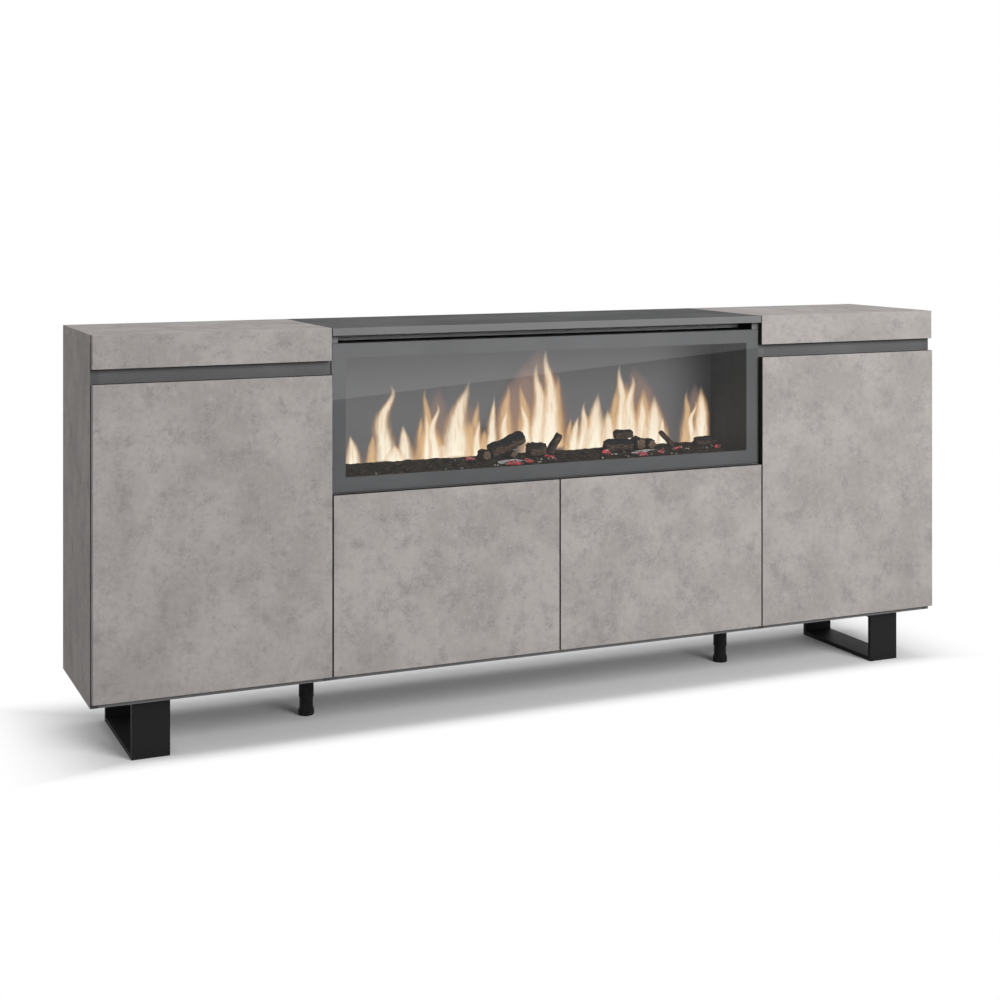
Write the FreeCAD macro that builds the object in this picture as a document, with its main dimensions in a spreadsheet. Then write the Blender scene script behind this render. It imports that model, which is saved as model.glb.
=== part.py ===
import FreeCAD, Part
import math
import os
import re
import Sketcher

# A long sideboard for a television, made of three carcasses side by side. Four doors on concealed
# hinges close it, the middle carcass holds an electric fire behind a full-width glass, and two steel
# loop legs and two screw feet carry it. Front faces -Y, +X is the viewer's right, Z is up, and the
# origin lies on the floor under the centre.

# Driving sizes in millimetres, each written once
SIZES = {
    # Carcasses
    "total_width": 2000,
    "total_depth": 350,
    "leg_height": 115,
    "body_height": 727,
    "side_module": 485,
    "board": 16,
    "back_board": 3,
    "back_inset": 1,
    # Doors, friezes and grip gaps
    "door_board": 16,
    "door_gap": 3,
    "door_reveal": 1.5,
    "door_lift": 11,
    "edge_round": 0.8,
    "frieze_height": 67,
    "grip_gap": 29,
    "rail_overlap": 12,
    # Single-pivot concealed hinges
    "hinge_height": 90,
    "hinge_pin_inset": 7,
    "hinge_pin_depth": 6.5,
    "hinge_pin_radius": 1,
    "hinge_pin_gap": 0.08,
    "hinge_eye_radius": 1.9,
    "hinge_neck": 1.8,
    "hinge_neck_width": 8,
    "hinge_neck_reach": 21.5,
    "hinge_arm_start": 25,
    "hinge_arm_length": 52,
    "hinge_arm_width": 14,
    "hinge_arm_crown": 5,
    "hinge_plate": 2,
    "hinge_plate_height": 44,
    "hinge_plate_length": 38,
    "cup_radius": 17.5,
    "cup_edge": 3.5,
    "cup_depth": 12.5,
    "cup_wall": 0.8,
    "cup_flange": 1,
    "cup_flange_radius": 20,
    "cup_clearance": 0.2,
    "cup_lug_inset": 5.5,
    "cup_lug_width": 3.5,
    "cup_lug_height": 4.2,
    "cup_lug_gap": 0.4,
    "cup_lug_thickness": 2.1,
    # Shelves and their pins
    "shelf_height": 297,
    "shelf_setback": 18,
    "shelf_clearance": 0.5,
    "shelf_pin_radius": 2.5,
    "shelf_pin_length": 16,
    "shelf_pin_inset": 60,
    "shelf_hole_pitch": 32,
    "shelf_hole_clearance": 0.05,
    # Bolts between the carcasses
    "bolt_radius": 4,
    "bolt_head_radius": 7,
    "bolt_head": 2,
    "bolt_clearance": 0.2,
    "bolt_inset": 45,
    "bolt_low": 35,
    "bolt_high": 347,
    # Electric fire
    "vent_slot": 16,
    "vent_rail_setback": 60,
    "vent_rail_gap": 1,
    "fire_front_height": 309,
    "fire_door_gap": 2.5,
    "fire_bezel": 3,
    "fire_border": 30.5,
    "fire_glass": 4,
    "glass_chamfer": 0.8,
    "housing_depth": 285,
    "housing_drop": 2,
    "housing_clearance": 2,
    "housing_sheet": 1.5,
    "louvre_gap": 60,
    "louvre_height": 6,
    "louvre_pitch": 14,
    "louvre_inset": 152,
    "louvre_rise": 210,
    "cable_gland_radius": 6,
    "cable_gland_inset": 60,
    "cable_gland_rise": 40,
    "screen_depth": 185,
    "screen_sheet": 3,
    "bed_setback": 54,
    "bed_end_gap": 31,
    "bed_lip": 23,
    "bed_height": 30,
    "bed_slope": 42,
    "log_radius": 18,
    "led_width": 12,
    "led_board": 2,
    "led_end_gap": 45.5,
    "led_setback": 6,
    "led_lamp": 5,
    "led_lamp_height": 1.6,
    "rotor_rise": 34,
    "rotor_setback": 40,
    "rotor_radius": 3,
    "rotor_gap": 0.08,
    "rotor_end_gap": 65.5,
    "rotor_tab": 1,
    "rotor_tab_space": 14,
    "rotor_tab_reach": 15,
    "rotor_tab_end": 70,
    "bracket_sheet": 2,
    "bracket_width": 24,
    "bracket_rise": 10,
    "motor_radius": 21,
    "motor_length": 18,
    "motor_hub_radius": 6,
    "motor_hub_length": 9,
    "motor_bore_depth": 14,
    "motor_foot_width": 30,
    "motor_foot_length": 12,
    # Cable outlets in the middle back
    "outlet_radius": 30,
    "outlet_rise": 290,
    "outlet_spread": 250,
    "upper_outlet_rise": 460,
    # Push latches of the middle doors
    "latch_width": 16,
    "latch_length": 60,
    "latch_height": 14,
    "latch_setback": 2,
    "latch_spread": 40,
    "plunger_radius": 4,
    "plunger_gap": 0.1,
    "plunger_rest": 0.3,
    "plunger_length": 34,
    "plunger_travel": 2.4,
    # Loop legs and their screws
    "leg_inset": 82.5,
    "leg_width": 76,
    "leg_setback": 34,
    "leg_rear_setback": 26,
    "leg_bar": 10,
    "screw_radius": 2.4,
    "screw_head_radius": 5,
    "screw_head": 3,
    "screw_bite": 12,
    "screw_clearance": 0.2,
    "screw_spread": 48,
    "screw_inset": 50,
    # Screw feet at the joints between the carcasses
    "foot_setback": 190,
    "sleeve_radius": 16,
    "sleeve_bottom": 39,
    "sleeve_flange_radius": 28,
    "sleeve_flange": 3,
    "foot_stem_radius": 14.5,
    "foot_gap": 0.1,
    "foot_engaged": 45,
    "foot_base_radius": 17,
    "foot_base_grip": 11,
    "foot_base_height": 19,
    "foot_base_chamfer": 1.5,
    "foot_notch_radius": 2,
    # Overrun of a cut past the face that it leaves
    "overrun": 1,
}

# How often things repeat
FOOT_NOTCHES = 12
LOUVRE_ROWS = 4
LOUVRE_COLUMNS = 5
ROTOR_TAB_COUNT = 13
LED_LAMPS = 18
SHELF_HOLES = 3

# Each log of the fire: place along half the bed and across its flat, length as a share of the bed, radius
# as a share of the thickest, turn and lean in degrees, and the height of what it lies on in thickest radii
LOG_SHARES = (
    (-0.268, 0.00, 0.040, 0.60, 90, 0, 0),
    (-0.237, 0.21, 0.092, 0.90, 0, 20, 0),
    (-0.126, 0.02, 0.043, 0.45, 90, 0, 0),
    (-0.045, 0.14, 0.046, 0.85, 0, 0, 0),
    (0.075, 0.20, 0.052, 0.50, 0, 58, 0),
    (0.371, 0.12, 0.073, 0.75, 0, 0, 0),
    (0.425, 0.12, 0.047, 0.60, 0, 0, 1.5),
    (0.565, 0.02, 0.045, 0.75, 90, 0, 0),
    (0.630, 0.06, 0.040, 0.60, 90, 0, 0),
    (0.759, 0.20, 0.050, 0.33, 180, 45, 0),
    (0.885, 0.14, 0.055, 0.60, 0, 0, 0),
)

# Places that several pieces share
LEFT = "(-total_width / 2)"
JOINT = "(side_module - total_width / 2)"
FRONT = "(-total_depth / 2)"
BACK = "(total_depth / 2)"
CARCASS_FRONT = f"({FRONT} + door_board + door_gap)"
CARCASS_BACK = f"({BACK} - back_board)"
CARCASS_DEPTH = "(total_depth - door_board - door_gap - back_board)"
FRIEZE_FRONT = f"({CARCASS_FRONT} - board)"
TOP = "(leg_height + body_height)"
UNDER_TOP = f"({TOP} - board)"
FLOOR = "(leg_height + board)"
DOOR_BOTTOM = "(leg_height + door_lift)"
DOOR_WIDTH = "(side_module - 2 * door_reveal)"
FRIEZE_BOTTOM = f"({TOP} - frieze_height)"
DOOR_TOP = f"({FRIEZE_BOTTOM} - grip_gap)"
SIDE_INSIDE = "(side_module - 2 * board)"
MIDDLE_WIDTH = "(total_width - 2 * side_module)"
MIDDLE_INSIDE = f"({MIDDLE_WIDTH} - 2 * board)"
FIRE_TOP = f"({UNDER_TOP} - vent_slot)"
FIRE_BOTTOM = f"({FIRE_TOP} - fire_front_height)"
MIDDLE_DOOR_TOP = f"({FIRE_BOTTOM} - fire_door_gap)"
MIDDLE_DOOR_WIDTH = f"({MIDDLE_WIDTH} / 2 - 2 * door_reveal)"

doc = FreeCAD.newDocument("fireplace_sideboard")
sheet = doc.addObject("Spreadsheet::Sheet", "Sizes")
for row, (name, value) in enumerate(SIZES.items(), start=1):
    sheet.set(f"A{row}", name)
    sheet.set(f"B{row}", str(value))
    sheet.setAlias(f"B{row}", name)
doc.recompute()

nodes = []


def formula(text):
    """A formula in size names, with each name pointed at its cell."""
    return re.sub(r"[a-z_]+", lambda word: f"Sizes.{word.group()}", text)


def bind(thing, **formulas):
    """Drive properties of an object by formulas."""
    for name, text in formulas.items():
        thing.setExpression(name, formula(text))


def place(thing, x="0", y="0", z="0"):
    """Drive the place of an object by formulas."""
    for axis, text in zip("xyz", (x, y, z)):
        thing.setExpression(f"Placement.Base.{axis}", formula(text))


def node(label, thing):
    """Name a finished piece, which gets a file of its own."""
    thing.Label = label
    nodes.append(thing)
    return thing


def block(name, x, y, z, length, depth, height):
    """A square-edged board by its lowest corner and its three sizes."""
    piece = doc.addObject("Part::Box", name)
    bind(piece, Length=length, Width=depth, Height=height)
    place(piece, x, y, z)
    return piece


def rod(name, axis, radius, length, x, y, z):
    """A round bar along one axis from the given point."""
    piece = doc.addObject("Part::Cylinder", name)
    turns = {"x": ((0, 1, 0), 90), "y": ((1, 0, 0), -90), "z": ((0, 0, 1), 0)}
    direction, angle = turns[axis]
    piece.Placement = FreeCAD.Placement(FreeCAD.Vector(), FreeCAD.Rotation(FreeCAD.Vector(direction), angle))
    bind(piece, Radius=radius, Height=length)
    place(piece, x, y, z)
    return piece


def group(name, pieces):
    """Several separate solids as one piece."""
    whole = doc.addObject("Part::Compound", name)
    whole.Links = pieces
    return whole


def cut(name, base, tools):
    """A piece with holes or slots taken out."""
    piece = doc.addObject("Part::Cut", name)
    piece.Base = base
    piece.Tool = tools[0] if len(tools) == 1 else group(f"{name}_tools", tools)
    return piece


def mirror(name, source, axis, at="0"):
    """A copy of a piece across a plane square to one axis."""
    piece = doc.addObject("Part::Mirroring", name)
    piece.Source = source
    normals = {"x": (1, 0, 0), "y": (0, 1, 0), "z": (0, 0, 1)}
    piece.Normal = FreeCAD.Vector(normals[axis])
    piece.setExpression(f"Base.{axis}", formula(at))
    return piece


def pair(name, source, axis, at="0"):
    """A piece and its mirrored copy."""
    return group(name, [source, mirror(f"{name}_copy", source, axis, at)])


def opposite(source, label):
    """The same piece on the right-hand side of the cabinet."""
    return node(label, mirror(label, source, "x"))


def new_body(name, x="0", y="0", z="0"):
    """An empty body at a place."""
    body = doc.addObject("PartDesign::Body", name)
    place(body, x, y, z)
    return body


def sketch_on(body, role, offset="0"):
    """A sketch on one of a body's own planes, moved along the plane's normal."""
    sketch = body.newObject("Sketcher::SketchObject", f"{body.Name}_sketch")
    plane = next(item for item in body.Origin.OriginFeatures if item.Role == role)
    sketch.AttachmentSupport = [(plane, "")]
    sketch.MapMode = "FlatFace"
    sketch.setExpression("AttachmentOffset.Base.z", formula(offset))
    return sketch


def hold(sketch, shape, point, x, y):
    """Fix a point of a sketched shape at formulas for its two distances from the origin."""
    for kind, text in (("DistanceX", x), ("DistanceY", y)):
        index = sketch.addConstraint(Sketcher.Constraint(kind, -1, 1, shape, point, 0.0))
        sketch.setExpression(f"Constraints[{index}]", formula(text))


def outline(sketch, points):
    """A closed outline of straight lines through points given as formulas."""
    first = sketch.GeometryCount
    corners = []
    for index in range(len(points)):
        turn = 2 * math.pi * index / len(points)
        corners.append(FreeCAD.Vector(math.cos(turn), math.sin(turn), 0))
    for index, corner in enumerate(corners):
        sketch.addGeometry(Part.LineSegment(corner, corners[(index + 1) % len(corners)]))
    for index, (x, y) in enumerate(points):
        following = first + (index + 1) % len(points)
        sketch.addConstraint(Sketcher.Constraint("Coincident", first + index, 2, following, 1))
        hold(sketch, first + index, 1, x, y)


def rectangle(sketch, x0, y0, x1, y1):
    """An upright rectangle between two corners."""
    outline(sketch, [(x0, y0), (x1, y0), (x1, y1), (x0, y1)])


def circle(sketch, x, y, radius):
    """A circle by its centre and radius."""
    shape = sketch.addGeometry(Part.Circle(FreeCAD.Vector(), FreeCAD.Vector(0, 0, 1), 1))
    hold(sketch, shape, 3, x, y)
    index = sketch.addConstraint(Sketcher.Constraint("Radius", shape, 1.0))
    sketch.setExpression(f"Constraints[{index}]", formula(radius))


def pad(body, sketch, length, symmetric=False, backwards=False):
    """Material from a sketch."""
    feature = body.newObject("PartDesign::Pad", f"{body.Name}_pad")
    feature.Profile = sketch
    feature.Midplane = symmetric
    feature.Reversed = backwards
    bind(feature, Length=length)
    return feature


def pocket(body, sketch, length, symmetric=False, backwards=False):
    """A recess from a sketch, which has to take material away."""
    doc.recompute()
    before = body.Shape.Volume
    feature = body.newObject("PartDesign::Pocket", f"{body.Name}_pocket")
    feature.Profile = sketch
    feature.Midplane = symmetric
    feature.Reversed = backwards
    bind(feature, Length=length)
    doc.recompute()
    if body.Shape.Volume >= before:
        raise RuntimeError(f"{feature.Name} cuts nothing")
    return feature


def turned(body, role, points, axis):
    """A round piece, turned from an outline about one axis of its sketch."""
    sketch = sketch_on(body, role)
    outline(sketch, points)
    feature = body.newObject("PartDesign::Revolution", f"{body.Name}_turned")
    feature.Profile = sketch
    feature.ReferenceAxis = (sketch, [axis])
    return feature


def soften(body, feature, normal, radius):
    """Round the edges of the face that looks along a direction and lies furthest that way."""
    doc.recompute()
    direction = FreeCAD.Vector(normal)
    reaches = [face.CenterOfMass.dot(direction) for face in feature.Shape.Faces]
    face = reaches.index(max(reaches)) + 1
    rounding = body.newObject("PartDesign::Fillet", f"{body.Name}_rounding")
    rounding.Base = (feature, [f"Face{face}"])
    bind(rounding, Radius=radius)
    return rounding


# Left carcass: two uprights, a top that covers them, a bottom between them and a thin back
SHELF_BOTTOM = f"({FLOOR} + shelf_height - board)"
PIN_HEIGHT = f"({SHELF_BOTTOM} - shelf_pin_radius)"
PIN_FRONT = f"({CARCASS_FRONT} + shelf_pin_inset)"
MIDDLE_DEPTH = f"({CARCASS_FRONT} + {CARCASS_DEPTH} / 2)"
PIN_GRIP = "(shelf_pin_length / 2)"
PIN_HOLE = "(shelf_pin_radius + shelf_hole_clearance)"
BOLT_HOLE = "(bolt_radius + bolt_clearance)"
BOLT_FRONT = f"({CARCASS_FRONT} + bolt_inset)"


def pin_holes(name, x):
    """Two rows of blind holes for shelf pins, front and rear, from the panel face that they leave."""
    drills = []
    for level in range(SHELF_HOLES):
        height = f"{PIN_HEIGHT} + {level - SHELF_HOLES // 2} * shelf_hole_pitch"
        drills.append(rod(f"{name}_{level}", "x", PIN_HOLE, PIN_GRIP, x, PIN_FRONT, height))
    return pair(name, group(f"{name}_row", drills), "y", MIDDLE_DEPTH)


def bolt_holes(name, x):
    """Four through holes for the bolts that join two carcasses."""
    length = "board + 2 * overrun"
    low = rod(f"{name}_low", "x", BOLT_HOLE, length, f"{x} - overrun", BOLT_FRONT, "leg_height + bolt_low")
    high = rod(f"{name}_high", "x", BOLT_HOLE, length, f"{x} - overrun", BOLT_FRONT, "leg_height + bolt_high")
    return pair(name, group(f"{name}_column", [low, high]), "y", MIDDLE_DEPTH)


UPRIGHT = "(body_height - board)"
side_blank = block("side_blank", LEFT, CARCASS_FRONT, "leg_height", "board", CARCASS_DEPTH, UPRIGHT)
side_holes = pin_holes("side_holes", f"{LEFT} + board - {PIN_GRIP}")
left_side = node("left_side_panel", cut("left_side_panel", side_blank, [side_holes]))

inner_x = f"({JOINT} - board)"
inner_blank = block("inner_blank", inner_x, CARCASS_FRONT, "leg_height", "board", CARCASS_DEPTH, UPRIGHT)
inner_holes = [pin_holes("inner_pin_holes", inner_x), bolt_holes("inner_bolt_holes", inner_x)]
left_inner = node("left_inner_panel", cut("left_inner_panel", inner_blank, inner_holes))

left_top = block("left_top", LEFT, CARCASS_FRONT, UNDER_TOP, "side_module", CARCASS_DEPTH, "board")
node("left_top", left_top)

LEG_MIDDLE = f"({LEFT} + leg_inset + leg_width / 2)"
LEG_FRONT = f"({FRONT} + leg_setback)"
LEG_DEPTH = "(total_depth - leg_setback - leg_rear_setback)"
LEG_CENTRE_DEPTH = f"({LEG_FRONT} + {LEG_DEPTH} / 2)"
SCREW_X = f"({LEG_MIDDLE} - screw_spread / 2)"
SCREW_Y = f"({LEG_FRONT} + screw_inset)"


def four_of(name, piece):
    """A piece repeated at the four screw places of the left leg."""
    row = pair(f"{name}_row", piece, "x", LEG_MIDDLE)
    return pair(name, row, "y", LEG_CENTRE_DEPTH)


bottom_blank = block(
    "bottom_blank", f"{LEFT} + board", CARCASS_FRONT, "leg_height", SIDE_INSIDE, CARCASS_DEPTH, "board"
)
pilot = rod("pilot", "z", "screw_radius", "screw_bite", SCREW_X, SCREW_Y, "leg_height")
left_bottom = node("left_bottom", cut("left_bottom", bottom_blank, [four_of("pilots", pilot)]))

BACK_HEIGHT = "(body_height - 2 * back_inset)"
BACK_BOTTOM = "(leg_height + back_inset)"
left_back = block(
    "left_back", f"{LEFT} + back_inset", CARCASS_BACK, BACK_BOTTOM,
    "side_module - 2 * back_inset", "back_board", BACK_HEIGHT,
)
node("left_back", left_back)

# Frieze over the door, and the rail behind the finger gap between them
frieze = new_body("left_frieze", f"{LEFT} + door_reveal", FRIEZE_FRONT, FRIEZE_BOTTOM)
frieze_face = sketch_on(frieze, "XZ_Plane")
rectangle(frieze_face, "0", "0", DOOR_WIDTH, "frieze_height")
soften(frieze, pad(frieze, frieze_face, "board", backwards=True), (0, -1, 0), "edge_round")
left_frieze = node("left_frieze", frieze)

left_rail = block(
    "left_grip_rail", f"{LEFT} + board", CARCASS_FRONT, f"{DOOR_TOP} - rail_overlap",
    SIDE_INSIDE, "board", "grip_gap + 2 * rail_overlap",
)
node("left_grip_rail", left_rail)

left_shelf = block(
    "left_shelf", f"{LEFT} + board + shelf_clearance", f"{CARCASS_FRONT} + shelf_setback", SHELF_BOTTOM,
    f"{SIDE_INSIDE} - 2 * shelf_clearance", f"{CARCASS_DEPTH} - shelf_setback", "board",
)
node("left_shelf", left_shelf)

# Shelf pins, half in the upright and half under the shelf
pin = new_body("shelf_pin", f"{LEFT} + board - {PIN_GRIP}", PIN_FRONT, PIN_HEIGHT)
pin_outline = [("0", "0"), ("shelf_pin_length", "0"), ("shelf_pin_length", "shelf_pin_radius")]
turned(pin, "XY_Plane", pin_outline + [("0", "shelf_pin_radius")], "H_Axis")
pin_rows = pair("pin_rows", pin, "y", MIDDLE_DEPTH)
module_pins = pair("module_pins", pin_rows, "x", f"{LEFT} + side_module / 2")
node("shelf_pins", pair("shelf_pins", module_pins, "x"))


# Doors: a board with two round recesses in its back for the hinge cups
def door(label, edge, width, height):
    """A door hung at its left edge."""
    body = new_body(label, edge, FRONT, DOOR_BOTTOM)
    face = sketch_on(body, "XZ_Plane")
    rectangle(face, "0", "0", width, height)
    soften(body, pad(body, face, "door_board", backwards=True), (0, -1, 0), "edge_round")
    recesses = sketch_on(body, "XZ_Plane", "-door_board")
    for level in ("hinge_height", f"{height} - hinge_height"):
        circle(recesses, "cup_edge + cup_radius", level, "cup_radius + cup_clearance")
    pocket(body, recesses, "cup_depth + cup_clearance", backwards=True)
    return node(label, body)


# Hinges: an arm on the upright with a bent neck that reaches into a cup in the door, and the pin
# through both, which is the axis that the door turns on
def hinge_arm(name, edge):
    """One arm with its plate, in the closed position of the door."""
    body = new_body(name, edge, FRONT, f"{DOOR_BOTTOM} + hinge_height")
    neck = sketch_on(body, "XY_Plane")
    near = "(hinge_pin_depth - hinge_neck / 2)"
    far = "(hinge_pin_depth + hinge_neck / 2)"
    inside = "(hinge_neck_reach - hinge_neck)"
    bend = [("hinge_pin_inset", near), ("hinge_neck_reach", near), ("hinge_neck_reach", "hinge_arm_start")]
    bend += [(inside, "hinge_arm_start"), (inside, far), ("hinge_pin_inset", far)]
    outline(neck, bend)
    pad(body, neck, "hinge_neck_width", symmetric=True)
    eye = sketch_on(body, "XY_Plane")
    circle(eye, "hinge_pin_inset", "hinge_pin_depth", "hinge_eye_radius")
    pad(body, eye, "hinge_neck_width", symmetric=True)
    plate_face = "(board - door_reveal)"
    arm_face = f"({plate_face} + hinge_plate)"
    arm = sketch_on(body, "XY_Plane")
    end = "(hinge_arm_start + hinge_arm_length)"
    rectangle(arm, arm_face, "hinge_arm_start", "hinge_neck_reach + hinge_arm_crown", end)
    pad(body, arm, "hinge_arm_width", symmetric=True)
    plate = sketch_on(body, "XY_Plane")
    rectangle(plate, plate_face, "hinge_arm_start", arm_face, "hinge_arm_start + hinge_plate_length")
    pad(body, plate, "hinge_plate_height", symmetric=True)
    bore = sketch_on(body, "XY_Plane")
    circle(bore, "hinge_pin_inset", "hinge_pin_depth", "hinge_pin_radius + hinge_pin_gap")
    pocket(body, bore, "hinge_neck_width + overrun", symmetric=True)
    return body


def hinge_cup(name, edge):
    """One cup with its flange and the two lugs that hold the pin."""
    centre = "(cup_edge + cup_radius)"
    body = new_body(name, f"{edge} + {centre}", f"{FRONT} + door_board", f"{DOOR_BOTTOM} + hinge_height")
    hollow = "(cup_radius - cup_wall)"
    floor = "(cup_wall - cup_depth)"
    wall = [("0", "-cup_depth"), ("cup_radius", "-cup_depth"), ("cup_radius", "0")]
    wall += [("cup_flange_radius", "0"), ("cup_flange_radius", "cup_flange"), (hollow, "cup_flange")]
    turned(body, "XY_Plane", wall + [(hollow, floor), ("0", floor)], "V_Axis")
    lug_x = f"(cup_lug_inset - {centre})"
    inner = "(hinge_neck_width / 2 + cup_lug_gap)"
    for low, high in ((inner, f"{inner} + cup_lug_thickness"), (f"-{inner} - cup_lug_thickness", f"-{inner}")):
        lug = sketch_on(body, "XZ_Plane", "cup_depth - cup_wall / 2")
        rectangle(lug, lug_x, low, f"{lug_x} + cup_lug_width", high)
        pad(body, lug, "cup_lug_height + cup_wall / 2", backwards=True)
    bore = sketch_on(body, "XY_Plane")
    circle(bore, f"hinge_pin_inset - {centre}", "hinge_pin_depth - door_board", "hinge_pin_radius")
    pocket(body, bore, f"2 * ({inner} + cup_lug_thickness)", symmetric=True)
    return body


def hinge_pin(name, edge):
    """One pin, as long as the two lugs and the neck between them."""
    half = "(hinge_neck_width / 2 + cup_lug_gap + cup_lug_thickness)"
    body = new_body(
        name, f"{edge} + hinge_pin_inset", f"{FRONT} + hinge_pin_depth", f"{DOOR_BOTTOM} + hinge_height - {half}"
    )
    profile = [("0", "0"), ("hinge_pin_radius", "0"), ("hinge_pin_radius", f"2 * {half}"), ("0", f"2 * {half}")]
    turned(body, "XZ_Plane", profile, "V_Axis")
    return body


def hung_door(label, other, edge, width, height):
    """A door with its two hinges, and the same on the other side of the cabinet."""
    middle = f"{DOOR_BOTTOM} + {height} / 2"
    opposite(door(label, edge, width, height), other)
    for part, make in (("hinge_arms", hinge_arm), ("hinge_cups", hinge_cup), ("hinge_pins", hinge_pin)):
        one = make(f"{label}_{part}_lower", edge)
        both = node(f"{label}_{part}", pair(f"{label}_{part}", one, "z", middle))
        opposite(both, f"{other}_{part}")


hung_door("left_door", "right_door", f"({LEFT} + door_reveal)", DOOR_WIDTH, f"({DOOR_TOP} - {DOOR_BOTTOM})")
hung_door(
    "middle_left_door", "middle_right_door", f"({JOINT} + door_reveal)",
    MIDDLE_DOOR_WIDTH, f"({MIDDLE_DOOR_TOP} - {DOOR_BOTTOM})",
)

# Right carcass
opposite(left_side, "right_side_panel")
opposite(left_inner, "right_inner_panel")
opposite(left_top, "right_top")
opposite(left_bottom, "right_bottom")
opposite(left_back, "right_back")
opposite(left_frieze, "right_frieze")
opposite(left_rail, "right_grip_rail")
opposite(left_shelf, "right_shelf")

# Middle carcass: its top runs forward between the friezes, a shelf carries the fire, and a divider
# under the shelf parts the two cupboards
middle_blank = block("middle_blank", JOINT, CARCASS_FRONT, "leg_height", "board", CARCASS_DEPTH, UPRIGHT)
middle_left = cut("middle_left_panel", middle_blank, [bolt_holes("middle_bolt_holes", JOINT)])
node("middle_left_panel", middle_left)
opposite(middle_left, "middle_right_panel")

middle_top = new_body("middle_top", JOINT, FRIEZE_FRONT, UNDER_TOP)
middle_top_edge = sketch_on(middle_top, "XZ_Plane")
rectangle(middle_top_edge, "0", "0", MIDDLE_WIDTH, "board")
middle_top_pad = pad(middle_top, middle_top_edge, f"{CARCASS_DEPTH} + board", backwards=True)
soften(middle_top, middle_top_pad, (0, -1, 0), "edge_round")
node("middle_top", middle_top)

MIDDLE_LEFT_INSIDE = f"({JOINT} + board)"
middle_bottom = block(
    "middle_bottom", MIDDLE_LEFT_INSIDE, CARCASS_FRONT, "leg_height", MIDDLE_INSIDE, CARCASS_DEPTH, "board"
)
node("middle_bottom", middle_bottom)
fire_shelf = block(
    "middle_fire_shelf", MIDDLE_LEFT_INSIDE, CARCASS_FRONT, f"{FIRE_BOTTOM} - board",
    MIDDLE_INSIDE, CARCASS_DEPTH, "board",
)
node("middle_fire_shelf", fire_shelf)
divider = block(
    "middle_divider", "-board / 2", CARCASS_FRONT, FLOOR, "board", CARCASS_DEPTH,
    f"{FIRE_BOTTOM} - board - {FLOOR}",
)
node("middle_divider", divider)
vent_rail = block(
    "vent_rail", MIDDLE_LEFT_INSIDE, f"{CARCASS_FRONT} + vent_rail_setback", f"{FIRE_TOP} + vent_rail_gap",
    MIDDLE_INSIDE, "board", "vent_slot - vent_rail_gap",
)
node("vent_rail", vent_rail)

# Middle back, with one round cable outlet for each cupboard and one behind the fire
middle_back = new_body("middle_back", f"{JOINT} + back_inset", CARCASS_BACK, BACK_BOTTOM)
back_face = sketch_on(middle_back, "XZ_Plane")
BACK_MIDDLE = f"({MIDDLE_WIDTH} / 2 - back_inset)"
rectangle(back_face, "0", "0", f"2 * {BACK_MIDDLE}", BACK_HEIGHT)
circle(back_face, f"{BACK_MIDDLE} - outlet_spread", "outlet_rise", "outlet_radius")
circle(back_face, f"{BACK_MIDDLE} + outlet_spread", "outlet_rise", "outlet_radius")
circle(back_face, BACK_MIDDLE, "upper_outlet_rise", "outlet_radius")
pad(middle_back, back_face, "back_board", backwards=True)
node("middle_back", middle_back)

# Bolts through the two uprights at each joint between carcasses
bolt = new_body("connector_bolt", f"{JOINT} - board - bolt_head", BOLT_FRONT, "leg_height + bolt_low")
bolt_end = "(2 * board + 2 * bolt_head)"
bolt_outline = [("0", "0"), (bolt_end, "0"), (bolt_end, "bolt_head_radius")]
bolt_outline += [(f"{bolt_end} - bolt_head", "bolt_head_radius"), (f"{bolt_end} - bolt_head", "bolt_radius")]
bolt_outline += [("bolt_head", "bolt_radius"), ("bolt_head", "bolt_head_radius"), ("0", "bolt_head_radius")]
turned(bolt, "XY_Plane", bolt_outline, "H_Axis")
bolt_column = pair("bolt_column", bolt, "z", "leg_height + (bolt_low + bolt_high) / 2")
joint_bolts = pair("joint_bolts", bolt_column, "y", MIDDLE_DEPTH)
node("connector_bolts", pair("connector_bolts", joint_bolts, "x"))

# Electric fire: a sheet steel housing on the shelf, closed in front by a bezel and one sheet of glass
# that cover the edges of the uprights
HOUSING_WIDTH = f"({MIDDLE_INSIDE} - 2 * housing_clearance)"
HOUSING_HEIGHT = "(fire_front_height - housing_drop)"
HOUSING_X = f"({MIDDLE_LEFT_INSIDE} + housing_clearance)"
HOUSING_FLOOR = f"({FIRE_BOTTOM} + housing_sheet)"
INSIDE_WIDTH = f"({HOUSING_WIDTH} - 2 * housing_sheet)"
SCREEN_Y = f"({CARCASS_FRONT} - fire_bezel + screen_depth)"
ROTOR_Y = f"({SCREEN_Y} + screen_sheet + rotor_setback)"

housing = new_body("fire_housing", HOUSING_X, CARCASS_FRONT, FIRE_BOTTOM)
outside = sketch_on(housing, "XZ_Plane")
rectangle(outside, "0", "0", HOUSING_WIDTH, HOUSING_HEIGHT)
pad(housing, outside, "housing_depth", backwards=True)
hollow = sketch_on(housing, "XZ_Plane")
rectangle(
    hollow, "housing_sheet", "housing_sheet",
    f"{HOUSING_WIDTH} - housing_sheet", f"{HOUSING_HEIGHT} - housing_sheet",
)
pocket(housing, hollow, "housing_depth - housing_sheet")
gland = sketch_on(housing, "XZ_Plane", "-housing_depth")
circle(gland, f"{HOUSING_WIDTH} - cable_gland_inset", "cable_gland_rise", "cable_gland_radius")
pocket(housing, gland, "housing_sheet + overrun", backwards=True)
louvres = sketch_on(housing, "XZ_Plane", "-housing_depth")
gaps_between = f"{LOUVRE_COLUMNS - 1} * louvre_gap"
slot_length = f"(({HOUSING_WIDTH} - 2 * louvre_inset - {gaps_between}) / {LOUVRE_COLUMNS})"
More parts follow.
